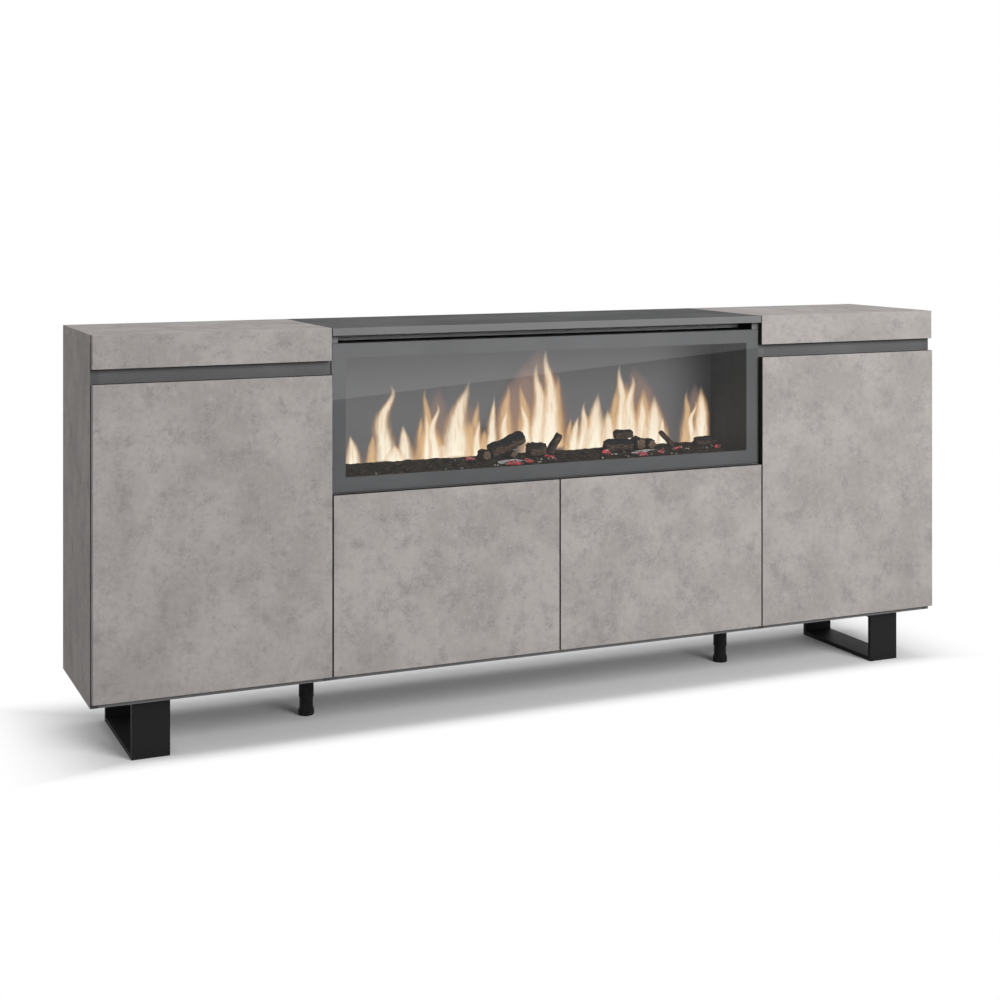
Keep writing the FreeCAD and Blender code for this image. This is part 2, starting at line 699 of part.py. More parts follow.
for column in range(LOUVRE_COLUMNS):
    slot = f"(louvre_inset + {column} * ({slot_length} + louvre_gap))"
    rectangle(louvres, slot, "louvre_rise", f"{slot} + {slot_length}", "louvre_rise + louvre_height")
louvre_row = pocket(housing, louvres, "housing_sheet + overrun", backwards=True)
louvre_rows = housing.newObject("PartDesign::LinearPattern", "louvre_rows")
louvre_rows.Originals = [louvre_row]
louvre_rows.Direction = (louvres, ["V_Axis"])
louvre_rows.Occurrences = LOUVRE_ROWS
bind(louvre_rows, Length=f"{LOUVRE_ROWS - 1} * louvre_pitch")
housing.Tip = louvre_rows
bracket = sketch_on(housing, "YZ_Plane", "housing_sheet + rotor_end_gap + bracket_sheet")
bracket_y = f"({ROTOR_Y} - {CARCASS_FRONT})"
rotor_z = "(housing_sheet + rotor_rise)"
rectangle(
    bracket, f"{bracket_y} - bracket_width / 2", "housing_sheet / 2",
    f"{bracket_y} + bracket_width / 2", f"{rotor_z} + bracket_rise",
)
circle(bracket, bracket_y, rotor_z, "rotor_radius + rotor_gap")
pad(housing, bracket, "bracket_sheet")
node("fire_housing", housing)

PANE_WIDTH = f"({MIDDLE_WIDTH} - 2 * door_reveal)"
bezel = new_body("fire_bezel", f"{JOINT} + door_reveal", f"{CARCASS_FRONT} - fire_bezel", FIRE_BOTTOM)
bezel_face = sketch_on(bezel, "XZ_Plane")
rectangle(bezel_face, "0", "0", PANE_WIDTH, "fire_front_height")
rectangle(
    bezel_face, "fire_border", "fire_border",
    f"{PANE_WIDTH} - fire_border", "fire_front_height - fire_border",
)
pad(bezel, bezel_face, "fire_bezel", backwards=True)
node("fire_bezel", bezel)

glass = new_body("fire_glass", f"{JOINT} + door_reveal", f"{CARCASS_FRONT} - fire_bezel - fire_glass", FIRE_BOTTOM)
glass_face = sketch_on(glass, "XZ_Plane")
rectangle(glass_face, "0", "0", PANE_WIDTH, "fire_front_height")
soften(glass, pad(glass, glass_face, "fire_glass", backwards=True), (0, -1, 0), "glass_chamfer")
node("fire_glass", glass)

screen = block(
    "flame_screen", f"{HOUSING_X} + housing_sheet", SCREEN_Y, HOUSING_FLOOR,
    INSIDE_WIDTH, "screen_sheet", f"{HOUSING_HEIGHT} - 2 * housing_sheet",
)
node("flame_screen", screen)

# Ember bed: a moulding along the whole fire, sloped in front and flat where the logs lie
BED_Y = f"({CARCASS_FRONT} + bed_setback)"
BED_DEPTH = f"({SCREEN_Y} - {BED_Y})"
BED_LENGTH = f"({INSIDE_WIDTH} - 2 * bed_end_gap)"
bed = new_body("ember_bed", f"-{BED_LENGTH} / 2", BED_Y, HOUSING_FLOOR)
bed_end = sketch_on(bed, "YZ_Plane")
bed_profile = [("0", "0"), (BED_DEPTH, "0"), (BED_DEPTH, "bed_height"), ("bed_slope", "bed_height")]
outline(bed_end, bed_profile + [("0", "bed_lip")])
pad(bed, bed_end, BED_LENGTH)
node("ember_bed", bed)

# Logs: most lie on the bed's flat, one on another log, and three lean
UPRIGHT_DEGREES = 90
logs = []
for number, (along, across, length, thick, turn, lean, perch) in enumerate(LOG_SHARES):
    log = doc.addObject("Part::Cylinder", f"log_{number}")
    leaning = FreeCAD.Rotation(FreeCAD.Vector(0, 1, 0), UPRIGHT_DEGREES - lean)
    log.Placement = FreeCAD.Placement(FreeCAD.Vector(), FreeCAD.Rotation(FreeCAD.Vector(0, 0, 1), turn) * leaning)
    bind(log, Radius=f"{thick} * log_radius", Height=f"{length} * {BED_LENGTH}")
    flat_y = f"{BED_Y} + bed_slope + {across} * ({BED_DEPTH} - bed_slope)"
    axis_share = round(perch + thick * math.cos(math.radians(lean)), 4)
    place(log, f"{along} * {BED_LENGTH} / 2", flat_y, f"{HOUSING_FLOOR} + bed_height + {axis_share} * log_radius")
    logs.append(log)
node("fire_logs", group("fire_logs", logs))

# Light bar under the screen, with a row of lamps
LED_LENGTH = f"({INSIDE_WIDTH} - 2 * led_end_gap)"
led = new_body("led_bar", f"-{LED_LENGTH} / 2", f"{SCREEN_Y} + screen_sheet + led_setback", HOUSING_FLOOR)
led_face = sketch_on(led, "XY_Plane")
rectangle(led_face, "0", "0", LED_LENGTH, "led_width")
pad(led, led_face, "led_board")
lamp = sketch_on(led, "XY_Plane", "led_board")
lamp_x = f"({LED_LENGTH} / {2 * LED_LAMPS})"
lamp_y = "(led_width / 2)"
half_lamp = "led_lamp / 2"
rectangle(
    lamp, f"{lamp_x} - {half_lamp}", f"{lamp_y} - {half_lamp}",
    f"{lamp_x} + {half_lamp}", f"{lamp_y} + {half_lamp}",
)
lamp_pad = pad(led, lamp, "led_lamp_height")
lamps = led.newObject("PartDesign::LinearPattern", "lamps")
lamps.Originals = [lamp_pad]
lamps.Direction = (lamp, ["H_Axis"])
lamps.Occurrences = LED_LAMPS
bind(lamps, Length=f"{LED_LENGTH} * {LED_LAMPS - 1} / {LED_LAMPS}")
led.Tip = lamps
node("led_bar", led)

# Flicker rotor: a shaft with bright tabs, upright and level in turn, that throws the moving light
ROTOR_Z = f"({HOUSING_FLOOR} + rotor_rise)"
ROTOR_HALF = f"({INSIDE_WIDTH} / 2 - rotor_end_gap)"
TAB_PITCH = f"(2 * ({ROTOR_HALF} - rotor_tab_end) / {ROTOR_TAB_COUNT - 1})"
TAB_LENGTH = f"({TAB_PITCH} - rotor_tab_space)"
rotor = new_body("flicker_rotor", f"-{ROTOR_HALF}", ROTOR_Y, ROTOR_Z)
shaft = sketch_on(rotor, "YZ_Plane")
circle(shaft, "0", "0", "rotor_radius")
pad(rotor, shaft, f"2 * {ROTOR_HALF}")
upright_tabs = ("XZ_Plane", "0", ROTOR_TAB_COUNT)
level_tabs = ("XY_Plane", f"{TAB_PITCH} / 2", ROTOR_TAB_COUNT - 1)
for role, pitch_shift, count in (upright_tabs, level_tabs):
    tab = sketch_on(rotor, role)
    start = f"(rotor_tab_end + {pitch_shift} - {TAB_LENGTH} / 2)"
    rectangle(tab, start, "-rotor_tab_reach", f"{start} + {TAB_LENGTH}", "rotor_tab_reach")
    tab_pad = pad(rotor, tab, "rotor_tab", symmetric=True)
    tabs = rotor.newObject("PartDesign::LinearPattern", f"tabs_{role}")
    tabs.Originals = [tab_pad]
    tabs.Direction = (tab, ["H_Axis"])
    tabs.Occurrences = count
    bind(tabs, Length=f"{TAB_PITCH} * {count - 1}")
    rotor.Tip = tabs
node("flicker_rotor", rotor)

# Motor of the rotor, on a foot on the housing floor, with the shaft end in its hub
motor = new_body("rotor_motor", f"{ROTOR_HALF} - motor_bore_depth", ROTOR_Y, ROTOR_Z)
motor_end = "(motor_hub_length + motor_length)"
motor_bore = "(rotor_radius + rotor_gap)"
motor_outline = [("0", motor_bore), ("0", "motor_hub_radius"), ("motor_hub_length", "motor_hub_radius")]
motor_outline += [("motor_hub_length", "motor_radius"), (motor_end, "motor_radius"), (motor_end, "0")]
motor_outline += [("motor_bore_depth + overrun", "0"), ("motor_bore_depth + overrun", motor_bore)]
turned(motor, "XY_Plane", motor_outline, "H_Axis")
motor_foot = sketch_on(motor, "XY_Plane", "-rotor_rise")
motor_foot_x = f"({motor_end} - motor_foot_length)"
rectangle(motor_foot, motor_foot_x, "-motor_foot_width / 2", motor_end, "motor_foot_width / 2")
pad(motor, motor_foot, "rotor_rise - motor_radius / 2")
node("rotor_motor", motor)

# Push latches under the fire shelf: a body on each side of the divider and a sprung plunger that
# stands just behind the closed door
LATCH_X = "(-latch_spread - latch_width / 2)"
LATCH_Y = f"({CARCASS_FRONT} + latch_setback)"
LATCH_Z = f"({FIRE_BOTTOM} - board - latch_height)"
PLUNGER_Y = f"({FRONT} + door_board + plunger_rest)"
latch_blank = block("latch_blank", LATCH_X, LATCH_Y, LATCH_Z, "latch_width", "latch_length", "latch_height")
plunger_z = f"{LATCH_Z} + latch_height / 2"
latch_bore = rod(
    "latch_bore", "y", "plunger_radius + plunger_gap",
    f"{PLUNGER_Y} + plunger_length + plunger_travel + overrun - {LATCH_Y} + overrun",
    "-latch_spread", f"{LATCH_Y} - overrun", plunger_z,
)
latch = cut("push_latch_body", latch_blank, [latch_bore])
node("push_latch_bodies", pair("push_latch_bodies", latch, "x"))
plunger = rod("left_push_plunger", "y", "plunger_radius", "plunger_length", "-latch_spread", PLUNGER_Y, plunger_z)
node("left_push_plunger", plunger)
opposite(plunger, "right_push_plunger")

# Loop legs of flat steel bar, screwed up into the bottoms
leg = new_body("left_leg", f"{LEFT} + leg_inset", LEG_FRONT)
loop = sketch_on(leg, "YZ_Plane")
rectangle(loop, "0", "0", LEG_DEPTH, "leg_height")
rectangle(loop, "leg_bar", "leg_bar", f"{LEG_DEPTH} - leg_bar", "leg_height - leg_bar")
pad(leg, loop, "leg_width")
leg_holes = sketch_on(leg, "XY_Plane", "leg_height")
for hole_x in ("(leg_width - screw_spread) / 2", "(leg_width + screw_spread) / 2"):
    for hole_y in ("screw_inset", f"{LEG_DEPTH} - screw_inset"):
        circle(leg_holes, hole_x, hole_y, "screw_radius + screw_clearance")
pocket(leg, leg_holes, "leg_bar + overrun")
node("left_leg", leg)
opposite(leg, "right_leg")

screw = new_body("leg_screw", SCREW_X, SCREW_Y, "leg_height - leg_bar - screw_head")
screw_end = "(screw_head + leg_bar + screw_bite)"
screw_outline = [("0", "0"), ("screw_head_radius", "0"), ("screw_head_radius", "screw_head")]
screw_outline += [("screw_radius", "screw_head"), ("screw_radius", screw_end), ("0", screw_end)]
turned(screw, "XZ_Plane", screw_outline, "V_Axis")
node("leg_screws", pair("leg_screws", four_of("leg_screw_set", screw), "x"))

# Screw feet: a flanged sleeve under each joint between carcasses, and a foot that turns up into it
FOOT_Y = f"({FRONT} + foot_setback)"
sleeve = new_body("foot_sleeve", JOINT, FOOT_Y)
sleeve_bore = "(foot_stem_radius + foot_gap)"
ceiling = "(leg_height - sleeve_flange)"
sleeve_outline = [(sleeve_bore, "sleeve_bottom"), ("sleeve_radius", "sleeve_bottom"), ("sleeve_radius", ceiling)]
sleeve_outline += [("sleeve_flange_radius", ceiling), ("sleeve_flange_radius", "leg_height"), ("0", "leg_height")]
turned(sleeve, "XZ_Plane", sleeve_outline + [("0", ceiling), (sleeve_bore, ceiling)], "V_Axis")
node("foot_sleeves", pair("foot_sleeves", sleeve, "x"))

foot = new_body("left_foot", JOINT, FOOT_Y)
base_flat = "(foot_base_radius - foot_base_chamfer)"
stem_top = "(sleeve_bottom + foot_engaged)"
foot_outline = [("0", "0"), (base_flat, "0"), ("foot_base_radius", "foot_base_chamfer")]
foot_outline += [("foot_base_radius", "foot_base_grip"), ("foot_stem_radius", "foot_base_height")]
turned(foot, "XZ_Plane", foot_outline + [("foot_stem_radius", stem_top), ("0", stem_top)], "V_Axis")
notch = sketch_on(foot, "XY_Plane", "foot_base_height")
circle(notch, "foot_base_radius + foot_notch_radius / 2", "0", "foot_notch_radius")
notch_pocket = pocket(foot, notch, "foot_base_height + overrun")
notches = foot.newObject("PartDesign::PolarPattern", "foot_notches")
notches.Originals = [notch_pocket]
notches.Axis = (notch, ["N_Axis"])
notches.Occurrences = FOOT_NOTCHES
foot.Tip = notches
node("left_foot", foot)
opposite(foot, "right_foot")

doc.recompute()
for thing in doc.Objects:
    if "Invalid" in thing.State or "Error" in thing.State:
        raise RuntimeError(f"{thing.Label} failed: {thing.State}")
for piece in nodes:
    if piece.Shape.isNull() or not piece.Shape.isValid():
        raise RuntimeError(f"{piece.Label} has no valid shape")

os.makedirs("parts", exist_ok=True)
for piece in nodes:
    piece.Shape.exportStep(f"parts/{piece.Label}.step")
print(len(nodes), "pieces written")
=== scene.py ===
import math
import random
import bmesh
import bpy
from mathutils import Matrix, Vector, noise


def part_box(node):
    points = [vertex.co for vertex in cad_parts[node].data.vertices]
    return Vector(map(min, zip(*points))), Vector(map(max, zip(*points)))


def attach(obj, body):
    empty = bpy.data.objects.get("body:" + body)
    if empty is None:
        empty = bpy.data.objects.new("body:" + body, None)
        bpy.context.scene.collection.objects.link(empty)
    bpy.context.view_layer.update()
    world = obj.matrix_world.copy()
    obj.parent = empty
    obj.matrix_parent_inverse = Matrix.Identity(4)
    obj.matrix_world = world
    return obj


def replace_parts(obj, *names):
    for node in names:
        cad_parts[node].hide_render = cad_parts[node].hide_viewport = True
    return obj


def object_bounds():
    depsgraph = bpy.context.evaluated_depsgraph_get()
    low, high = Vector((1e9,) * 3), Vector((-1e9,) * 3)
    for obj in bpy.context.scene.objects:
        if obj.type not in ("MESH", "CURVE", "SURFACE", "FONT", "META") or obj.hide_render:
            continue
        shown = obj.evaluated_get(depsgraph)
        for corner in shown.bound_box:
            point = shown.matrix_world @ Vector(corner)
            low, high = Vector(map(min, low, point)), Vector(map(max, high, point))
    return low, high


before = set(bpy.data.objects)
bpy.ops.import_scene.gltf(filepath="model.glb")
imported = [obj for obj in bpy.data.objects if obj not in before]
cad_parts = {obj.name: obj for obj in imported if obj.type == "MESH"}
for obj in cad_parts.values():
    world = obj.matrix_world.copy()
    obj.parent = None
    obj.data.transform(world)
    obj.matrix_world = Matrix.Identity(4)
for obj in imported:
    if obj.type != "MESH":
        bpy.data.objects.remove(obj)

cad_low, cad_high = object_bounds()
MM = 0.001

# Outer boards and doors: 16 mm chipboard faced with melamine that is printed as cast concrete, with
# soft clouds, trowel smudges and fine pores. The boards are dowelled and glued, the friezes screwed on
# from behind, and the doors hang on concealed hinges.
MIX_FACTOR, MIX_LOW, MIX_HIGH, MIX_COLOUR = 0, 6, 7, 2


class Tone:
    """A value, a vector or a colour on its way through a finish."""

    def __init__(self, tree, socket=None):
        self.tree = tree
        self.socket = socket

    def node(self, kind, settings=None, sockets=None, out=0):
        """Adds a node: its settings first, then the values or links of its sockets."""
        made = self.tree.nodes.new(kind)
        for name, value in (settings or {}).items():
            setattr(made, name, value)
        for key, value in (sockets or {}).items():
            if isinstance(value, Tone):
                self.tree.links.new(value.socket, made.inputs[key])
            else:
                made.inputs[key].default_value = value
        return Tone(self.tree, made.outputs[out])

    def sum(self, operation, first, second):
        """One step of arithmetic on values."""
        return self.node("ShaderNodeMath", {"operation": operation}, {0: first, 1: second})

    def __add__(self, other):
        return self.sum("ADD", self, other)

    def __radd__(self, other):
        return self.sum("ADD", other, self)

    def __sub__(self, other):
        return self.sum("SUBTRACT", self, other)

    def __rsub__(self, other):
        return self.sum("SUBTRACT", other, self)

    def __mul__(self, other):
        return self.sum("MULTIPLY", self, other)

    def __rmul__(self, other):
        return self.sum("MULTIPLY", other, self)

    def __abs__(self):
        return self.node("ShaderNodeMath", {"operation": "ABSOLUTE"}, {0: self})

    def rise(self, low, high):
        """0 at low, 1 at high and a smooth rise between them."""
        sockets = {"Value": self, "From Min": low, "From Max": high}
        return self.node("ShaderNodeMapRange", {"interpolation_type": "SMOOTHSTEP"}, sockets)

    def between(self, low, high):
        """The colour low where this value is 0, and high where it is 1."""
        sockets = {MIX_FACTOR: self, MIX_LOW: low, MIX_HIGH: high}
        return self.node("ShaderNodeMix", {"data_type": "RGBA"}, sockets, MIX_COLOUR)

    def stretched(self, by):
        """The place with each axis scaled."""
        return self.node("ShaderNodeVectorMath", {"operation": "MULTIPLY"}, {0: self, 1: by})

    def moved(self, by):
        """The place shifted by a vector."""
        return self.node("ShaderNodeVectorMath", {"operation": "ADD"}, {0: self, 1: by})

    def noise(self, size, detail, roughness):
        """Noise whose blots are about this size."""
        sockets = {"Vector": self, "Scale": 1 / size, "Detail": detail, "Roughness": roughness}
        return self.node("ShaderNodeTexNoise", None, sockets)

    def part(self, axis):
        """One axis of a vector."""
        return self.node("ShaderNodeSeparateXYZ", None, {0: self}, axis)

    def into(self, shader, socket):
        """Feeds a socket of a shader."""
        self.tree.links.new(self.socket, shader.inputs[socket])

    def press(self, shader, depth, strength):
        """Sinks or raises the surface by this height."""
        sockets = {"Height": self, "Distance": depth, "Strength": strength}
        self.node("ShaderNodeBump", None, sockets).into(shader, "Normal")


def paint(red, green, blue):
    """A colour from its levels of 0 to 255 on a screen."""
    shares = [level / 255 for level in (red, green, blue)]
    light = [share / 12.92 if share <= 0.04045 else ((share + 0.055) / 1.055) ** 2.4 for share in shares]
    return (*light, 1)


def new_finish(name, fixed):
    """An empty finish with the values that are the same all over it."""
    material = bpy.data.materials.new(name)
    material.use_nodes = True
    shader = material.node_tree.nodes["Principled BSDF"]
    for socket, value in fixed.items():
        shader.inputs[socket].default_value = value
    place = Tone(material.node_tree).node("ShaderNodeTexCoord", out="Object")
    return material, shader, place


def dress(names, finish):
    """Gives these pieces one finish."""
    for name in names:
        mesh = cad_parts[name].data
        mesh.materials.clear()
        mesh.materials.append(finish)


PRINT_SPREAD = (37, 19, 53)
END_REACH = 100 * MM
END_FULL = 50 * MM


def own_place(place):
    """A place that differs from board to board, so that no two boards carry the same print."""
    chance = place.node("ShaderNodeObjectInfo", out="Random")
    shift = place.node("ShaderNodeVectorMath", {"operation": "SCALE"}, {0: PRINT_SPREAD, "Scale": chance})
    return place.moved(shift)


def concrete(name, drawn, printed, band_and_gap_shade):
    """The concrete print, drawn out along a board, on faces turned these ways and on edges at the two ends
    of the sideboard; the other edges carry a band colour, and the dark band on doors and friezes is partly
    painted shade in the gaps between parts."""
    finish, shader, place = new_finish(name, {"Specular IOR Level": 0.06})
    there = own_place(place)
    along = there.stretched(drawn)
    clouds = along.noise(120 * MM, 4, 0.55)
    smudges = along.noise(42 * MM, 6, 0.66)
    mottle = there.noise(14 * MM, 4, 0.6)
    grain = there.noise(6 * MM, 4, 0.65)
    pores = there.noise(3.2 * MM, 2, 0.5)
    trowel = there.stretched((0.12, 0.12, 1)).noise(3 * MM, 3, 0.6)
    colour = clouds.rise(0.34, 0.66).between(paint(160, 154, 151), paint(173, 167, 164))
    colour = (smudges.rise(0.5, 0.72) * 0.6).between(colour, paint(140, 136, 135))
    colour = (mottle.rise(0.5, 0.75) * 0.35).between(colour, paint(184, 178, 175))
    colour = (mottle.rise(0.5, 0.28) * 0.4).between(colour, paint(146, 141, 139))
    colour = (grain.rise(0.48, 0.66) * smudges.rise(0.36, 0.6) * 0.4).between(colour, paint(136, 132, 131))
    colour = (trowel.rise(0.56, 0.75) * smudges.rise(0.4, 0.6) * 0.3).between(colour, paint(126, 122, 121))
    colour = (pores.rise(0.62, 0.72) * smudges.rise(0.46, 0.62) * 0.6).between(colour, paint(104, 100, 99))
    turned_to = place.node("ShaderNodeTexCoord", out="Normal")
    at_the_ends = abs(place.part("X")).rise(cad_high.x - END_REACH, cad_high.x - END_FULL)
    outward = abs(turned_to.part("X")) * at_the_ends * printed[0] + abs(turned_to.part("Y")) * printed[1]
    face = outward + turned_to.part("Z") * printed[2]
    face.rise(0.4, 0.7).between(band_and_gap_shade, colour).into(shader, "Base Color")
    (0.62 + smudges * 0.16 - pores * 0.06).into(shader, "Roughness")
    (mottle * 0.5 + pores.rise(0.7, 0.6) * 0.5).press(shader, 0.12 * MM, 0.35)
    return finish


SIDES = ("left", "right")
DOORS = ("left_door", "right_door", "middle_left_door", "middle_right_door")
GREY_BAND = paint(94, 94, 95)
# The dark band is the doors' dark edge banding on their top and bottom edges and, on the inner side edges
# of doors and friezes, painted shade for the gaps between parts.
DARK_BAND_AND_GAP_SHADE = paint(46, 46, 47)
concrete_panel = concrete("concrete_panel", (1, 1, 0.8), (1, 0, 0), GREY_BAND)
dress([f"{side}_side_panel" for side in SIDES], concrete_panel)
dress([f"{side}_top" for side in SIDES], concrete("concrete_top", (1, 1, 1), (1, 1, 1), GREY_BAND))
concrete_frieze = concrete("concrete_frieze", (0.8, 1, 1.2), (1, 1, 1), DARK_BAND_AND_GAP_SHADE)
dress([f"{side}_frieze" for side in SIDES], concrete_frieze)
dress(DOORS, concrete("concrete_door", (1, 1, 0.9), (1, 1, 0), DARK_BAND_AND_GAP_SHADE))

# Inner boards: uprights, bottoms, shelves, grip rails and the boards round the fire, of the same
# chipboard in a plain graphite melamine with a fine pearled press. Dowels and cam bolts hold them.


def graphite(name, face, edge, fleck=paint(146, 145, 144)):
    """The graphite melamine, with the colour of its faces, of its banded front edges and of its pearl."""
    finish, shader, place = new_finish(name, {"Specular IOR Level": 0.06})
    there = own_place(place)
    grain = there.noise(2.2 * MM, 3, 0.6)
    cast = there.noise(160 * MM, 3, 0.5)
    facing = place.node("ShaderNodeTexCoord", out="Normal").part("Y")
    colour = facing.rise(-0.5, -0.8).between(face, edge)
    colour = ((grain - 0.5) * 0.35 + cast.rise(0.35, 0.7) * 0.14).between(colour, fleck)
    colour.into(shader, "Base Color")
    (0.56 + grain * 0.14).into(shader, "Roughness")
    grain.press(shader, 0.08 * MM, 0.35)
    return finish


INNER_BOARDS = [f"{side}_{board}" for side in SIDES for board in ("inner_panel", "grip_rail", "shelf")]
INNER_BOARDS += ["middle_fire_shelf", "middle_divider"]
dress(INNER_BOARDS, graphite("graphite_board", paint(86, 86, 87), paint(98, 98, 99)))
# The bottoms' front edges are drawn paler than the other inner boards' edges: painted light on the strip
# that lies in shade under the doors.
BOTTOMS = ["left_bottom", "right_bottom", "middle_bottom"]
dress(BOTTOMS, graphite("graphite_bottom_painted_light", paint(86, 86, 87), paint(136, 136, 136)))
PALE_EDGED = ["middle_top", "middle_left_panel", "middle_right_panel"]
dress(PALE_EDGED, graphite("graphite_pale_edge", paint(57, 58, 59), paint(120, 120, 120)))
# The vent rail is drawn near white, far paler than the graphite boards: painted light, so that the rail,
# which lies in shade in its slot above the fire, reads grey.
RAIL_PAINTED_LIGHT = paint(216, 216, 215)
dress(["vent_rail"], graphite("rail_painted_light", RAIL_PAINTED_LIGHT, RAIL_PAINTED_LIGHT, paint(228, 228, 227)))

# Backs: 3 mm fibreboard, painted graphite on the inside and a thinner grey outside that lets the fibres
# show, laid on the carcasses' rear edges and held by a row of small round-headed nails.
hardboard, hardboard_shader, hardboard_place = new_finish("hardboard", {"Specular IOR Level": 0.25})
fibres = hardboard_place.stretched((1, 1, 0.35)).noise(1.6 * MM, 4, 0.65)
blotches = hardboard_place.noise(70 * MM, 4, 0.55)
outside = hardboard_place.node("ShaderNodeTexCoord", out="Normal").part("Y").rise(0.3, 0.7)
thin_paint = fibres.rise(0.3, 0.72).between(paint(132, 130, 127), paint(158, 156, 152))
thin_paint = (blotches.rise(0.4, 0.7) * 0.4).between(thin_paint, paint(138, 133, 127))
painted = fibres.rise(0.3, 0.7).between(paint(88, 88, 89), paint(98, 98, 98))
outside.between(painted, thin_paint).into(hardboard_shader, "Base Color")
(0.66 + fibres * 0.2).into(hardboard_shader, "Roughness")
fibres.press(hardboard_shader, 0.1 * MM, 0.4)
BACKS = ("left_back", "right_back", "middle_back")
dress(BACKS, hardboard)


def bridge(made, rings):
    """Joins each ring of corners to the next with a band of faces."""
    for lower, upper in zip(rings, rings[1:]):
        for corner in range(len(lower)):
            after = (corner + 1) % len(lower)
            made.faces.new((lower[corner], lower[after], upper[after], upper[corner]))


def turned(made, profile, place, corners):
    """Turns a profile of radii and heights about the Z axis of a place, and closes its ends."""
    rings = []
    for radius, height in profile:
        ring = []
        for corner in range(corners):
            angle = math.tau * corner / corners
            spot = Vector((radius * math.cos(angle), radius * math.sin(angle), height))
            ring.append(made.verts.new(place @ spot))
        rings.append(ring)
    bridge(made, rings)
    made.faces.new(rings[0][::-1])
    made.faces.new(rings[-1])


def piece(name, made, finish, body):
    """A finished mesh as a piece that rides on a body."""
    bmesh.ops.recalc_face_normals(made, faces=made.faces)
    mesh = bpy.data.meshes.new(name)
    made.to_mesh(mesh)
    made.free()
    mesh.materials.append(finish)
    thing = bpy.data.objects.new(name, mesh)
    bpy.context.scene.collection.objects.link(thing)
    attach(thing, body)
    return thing


def smooth(thing):
    """Shades a rounded piece without facets."""
    for face in thing.data.polygons:
        face.use_smooth = True
    return thing


zinc, zinc_shader, zinc_place = new_finish("zinc_plating", {"Metallic": 1})
spangle = zinc_place.noise(1.1 * MM, 3, 0.6)
spangle.rise(0.3, 0.7).between(paint(176, 178, 176), paint(212, 211, 202)).into(zinc_shader, "Base Color")
(0.26 + spangle * 0.22).into(zinc_shader, "Roughness")
spangle.press(zinc_shader, 0.03 * MM, 0.3)

NAIL_SPACE = 92 * MM
NAIL_INSET = 8 * MM
NAIL_HEAD = 2.6 * MM
NAIL_RISE = 0.8 * MM
NAIL_CORNERS = 14
NAIL_DOME_SHARES = ((1, 0), (0.94, 0.55), (0.62, 0.92), (0.2, 1))
nail_profile = [(NAIL_HEAD * wide, NAIL_RISE * tall) for wide, tall in NAIL_DOME_SHARES]
nails = bmesh.new()
for board in BACKS:
    low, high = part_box(board)
    across = [low.x + NAIL_INSET, high.x - NAIL_INSET]
    up = [low.z + NAIL_INSET, high.z - NAIL_INSET]
    columns = round((across[1] - across[0]) / NAIL_SPACE)
    rows = round((up[1] - up[0]) / NAIL_SPACE)
    spots = set()
    for column in range(columns + 1):
        x = across[0] + (across[1] - across[0]) * column / columns
        spots.update(((x, up[0]), (x, up[1])))
    for row in range(rows + 1):
        z = up[0] + (up[1] - up[0]) * row / rows
        spots.update(((across[0], z), (across[1], z)))
    for x, z in sorted(spots):
        stand = Matrix.Translation((x, high.y, z)) @ Matrix.Rotation(-math.pi / 2, 4, "X")
        turned(nails, nail_profile, stand, NAIL_CORNERS)
smooth(piece("back_nails", nails, zinc, "carcass"))

# Loop legs: flat steel bar bent and welded into a closed loop, with a fine black powder coat. Screws
# through the upper bar hold each leg under its carcass.
powder, powder_shader, powder_place = new_finish("black_powder_coat", {"Specular IOR Level": 0.12})
peel = powder_place.noise(0.9 * MM, 3, 0.6)
scuff = powder_place.noise(38 * MM, 5, 0.6)
peel.rise(0.3, 0.7).between(paint(28, 28, 29), paint(36, 36, 37)).into(powder_shader, "Base Color")
(0.42 + peel * 0.16 + scuff * 0.08).into(powder_shader, "Roughness")
peel.press(powder_shader, 0.06 * MM, 0.5)
dress(["left_leg", "right_leg"], powder)

# Screws, bolts and shelf pins: turned and pressed steel with a pale zinc plating. The screws hold the
# legs, the bolts draw the three carcasses together, and the pins carry the shelves.
dress(["leg_screws", "connector_bolts", "shelf_pins"], zinc)

# Screw feet: black moulded plastic with notches to turn them by hand, in sleeves screwed under the
# joints between the carcasses.
plastic, plastic_shader, plastic_place = new_finish("black_plastic", {"Specular IOR Level": 0.15})
spark = plastic_place.noise(0.7 * MM, 3, 0.6)
flow = plastic_place.noise(18 * MM, 3, 0.5)
flow.rise(0.3, 0.7).between(paint(26, 26, 27), paint(36, 36, 37)).into(plastic_shader, "Base Color")
(0.44 + spark * 0.2).into(plastic_shader, "Roughness")
spark.press(plastic_shader, 0.05 * MM, 0.5)
dress(["foot_sleeves", "left_foot", "right_foot"], plastic)

# Concealed hinges: pressed and nickel-plated arms, plates, cups and pins. Two cross-headed screws hold
# each plate to its upright, and two more in the arm set the door straight.
nickel, nickel_shader, nickel_place = new_finish("nickel_plating", {"Metallic": 1})
brushed = nickel_place.stretched((1, 0.08, 1)).noise(0.5 * MM, 3, 0.6)
haze = nickel_place.noise(9 * MM, 3, 0.5)
nickel_colour = brushed.rise(0.25, 0.75).between(paint(182, 179, 172), paint(204, 201, 194))
nickel_colour.into(nickel_shader, "Base Color")
(0.2 + brushed * 0.16 + haze * 0.1).into(nickel_shader, "Roughness")
brushed.press(nickel_shader, 0.02 * MM, 0.3)
for door in DOORS:
    dress([f"{door}_hinge_arms", f"{door}_hinge_cups", f"{door}_hinge_pins"], nickel)

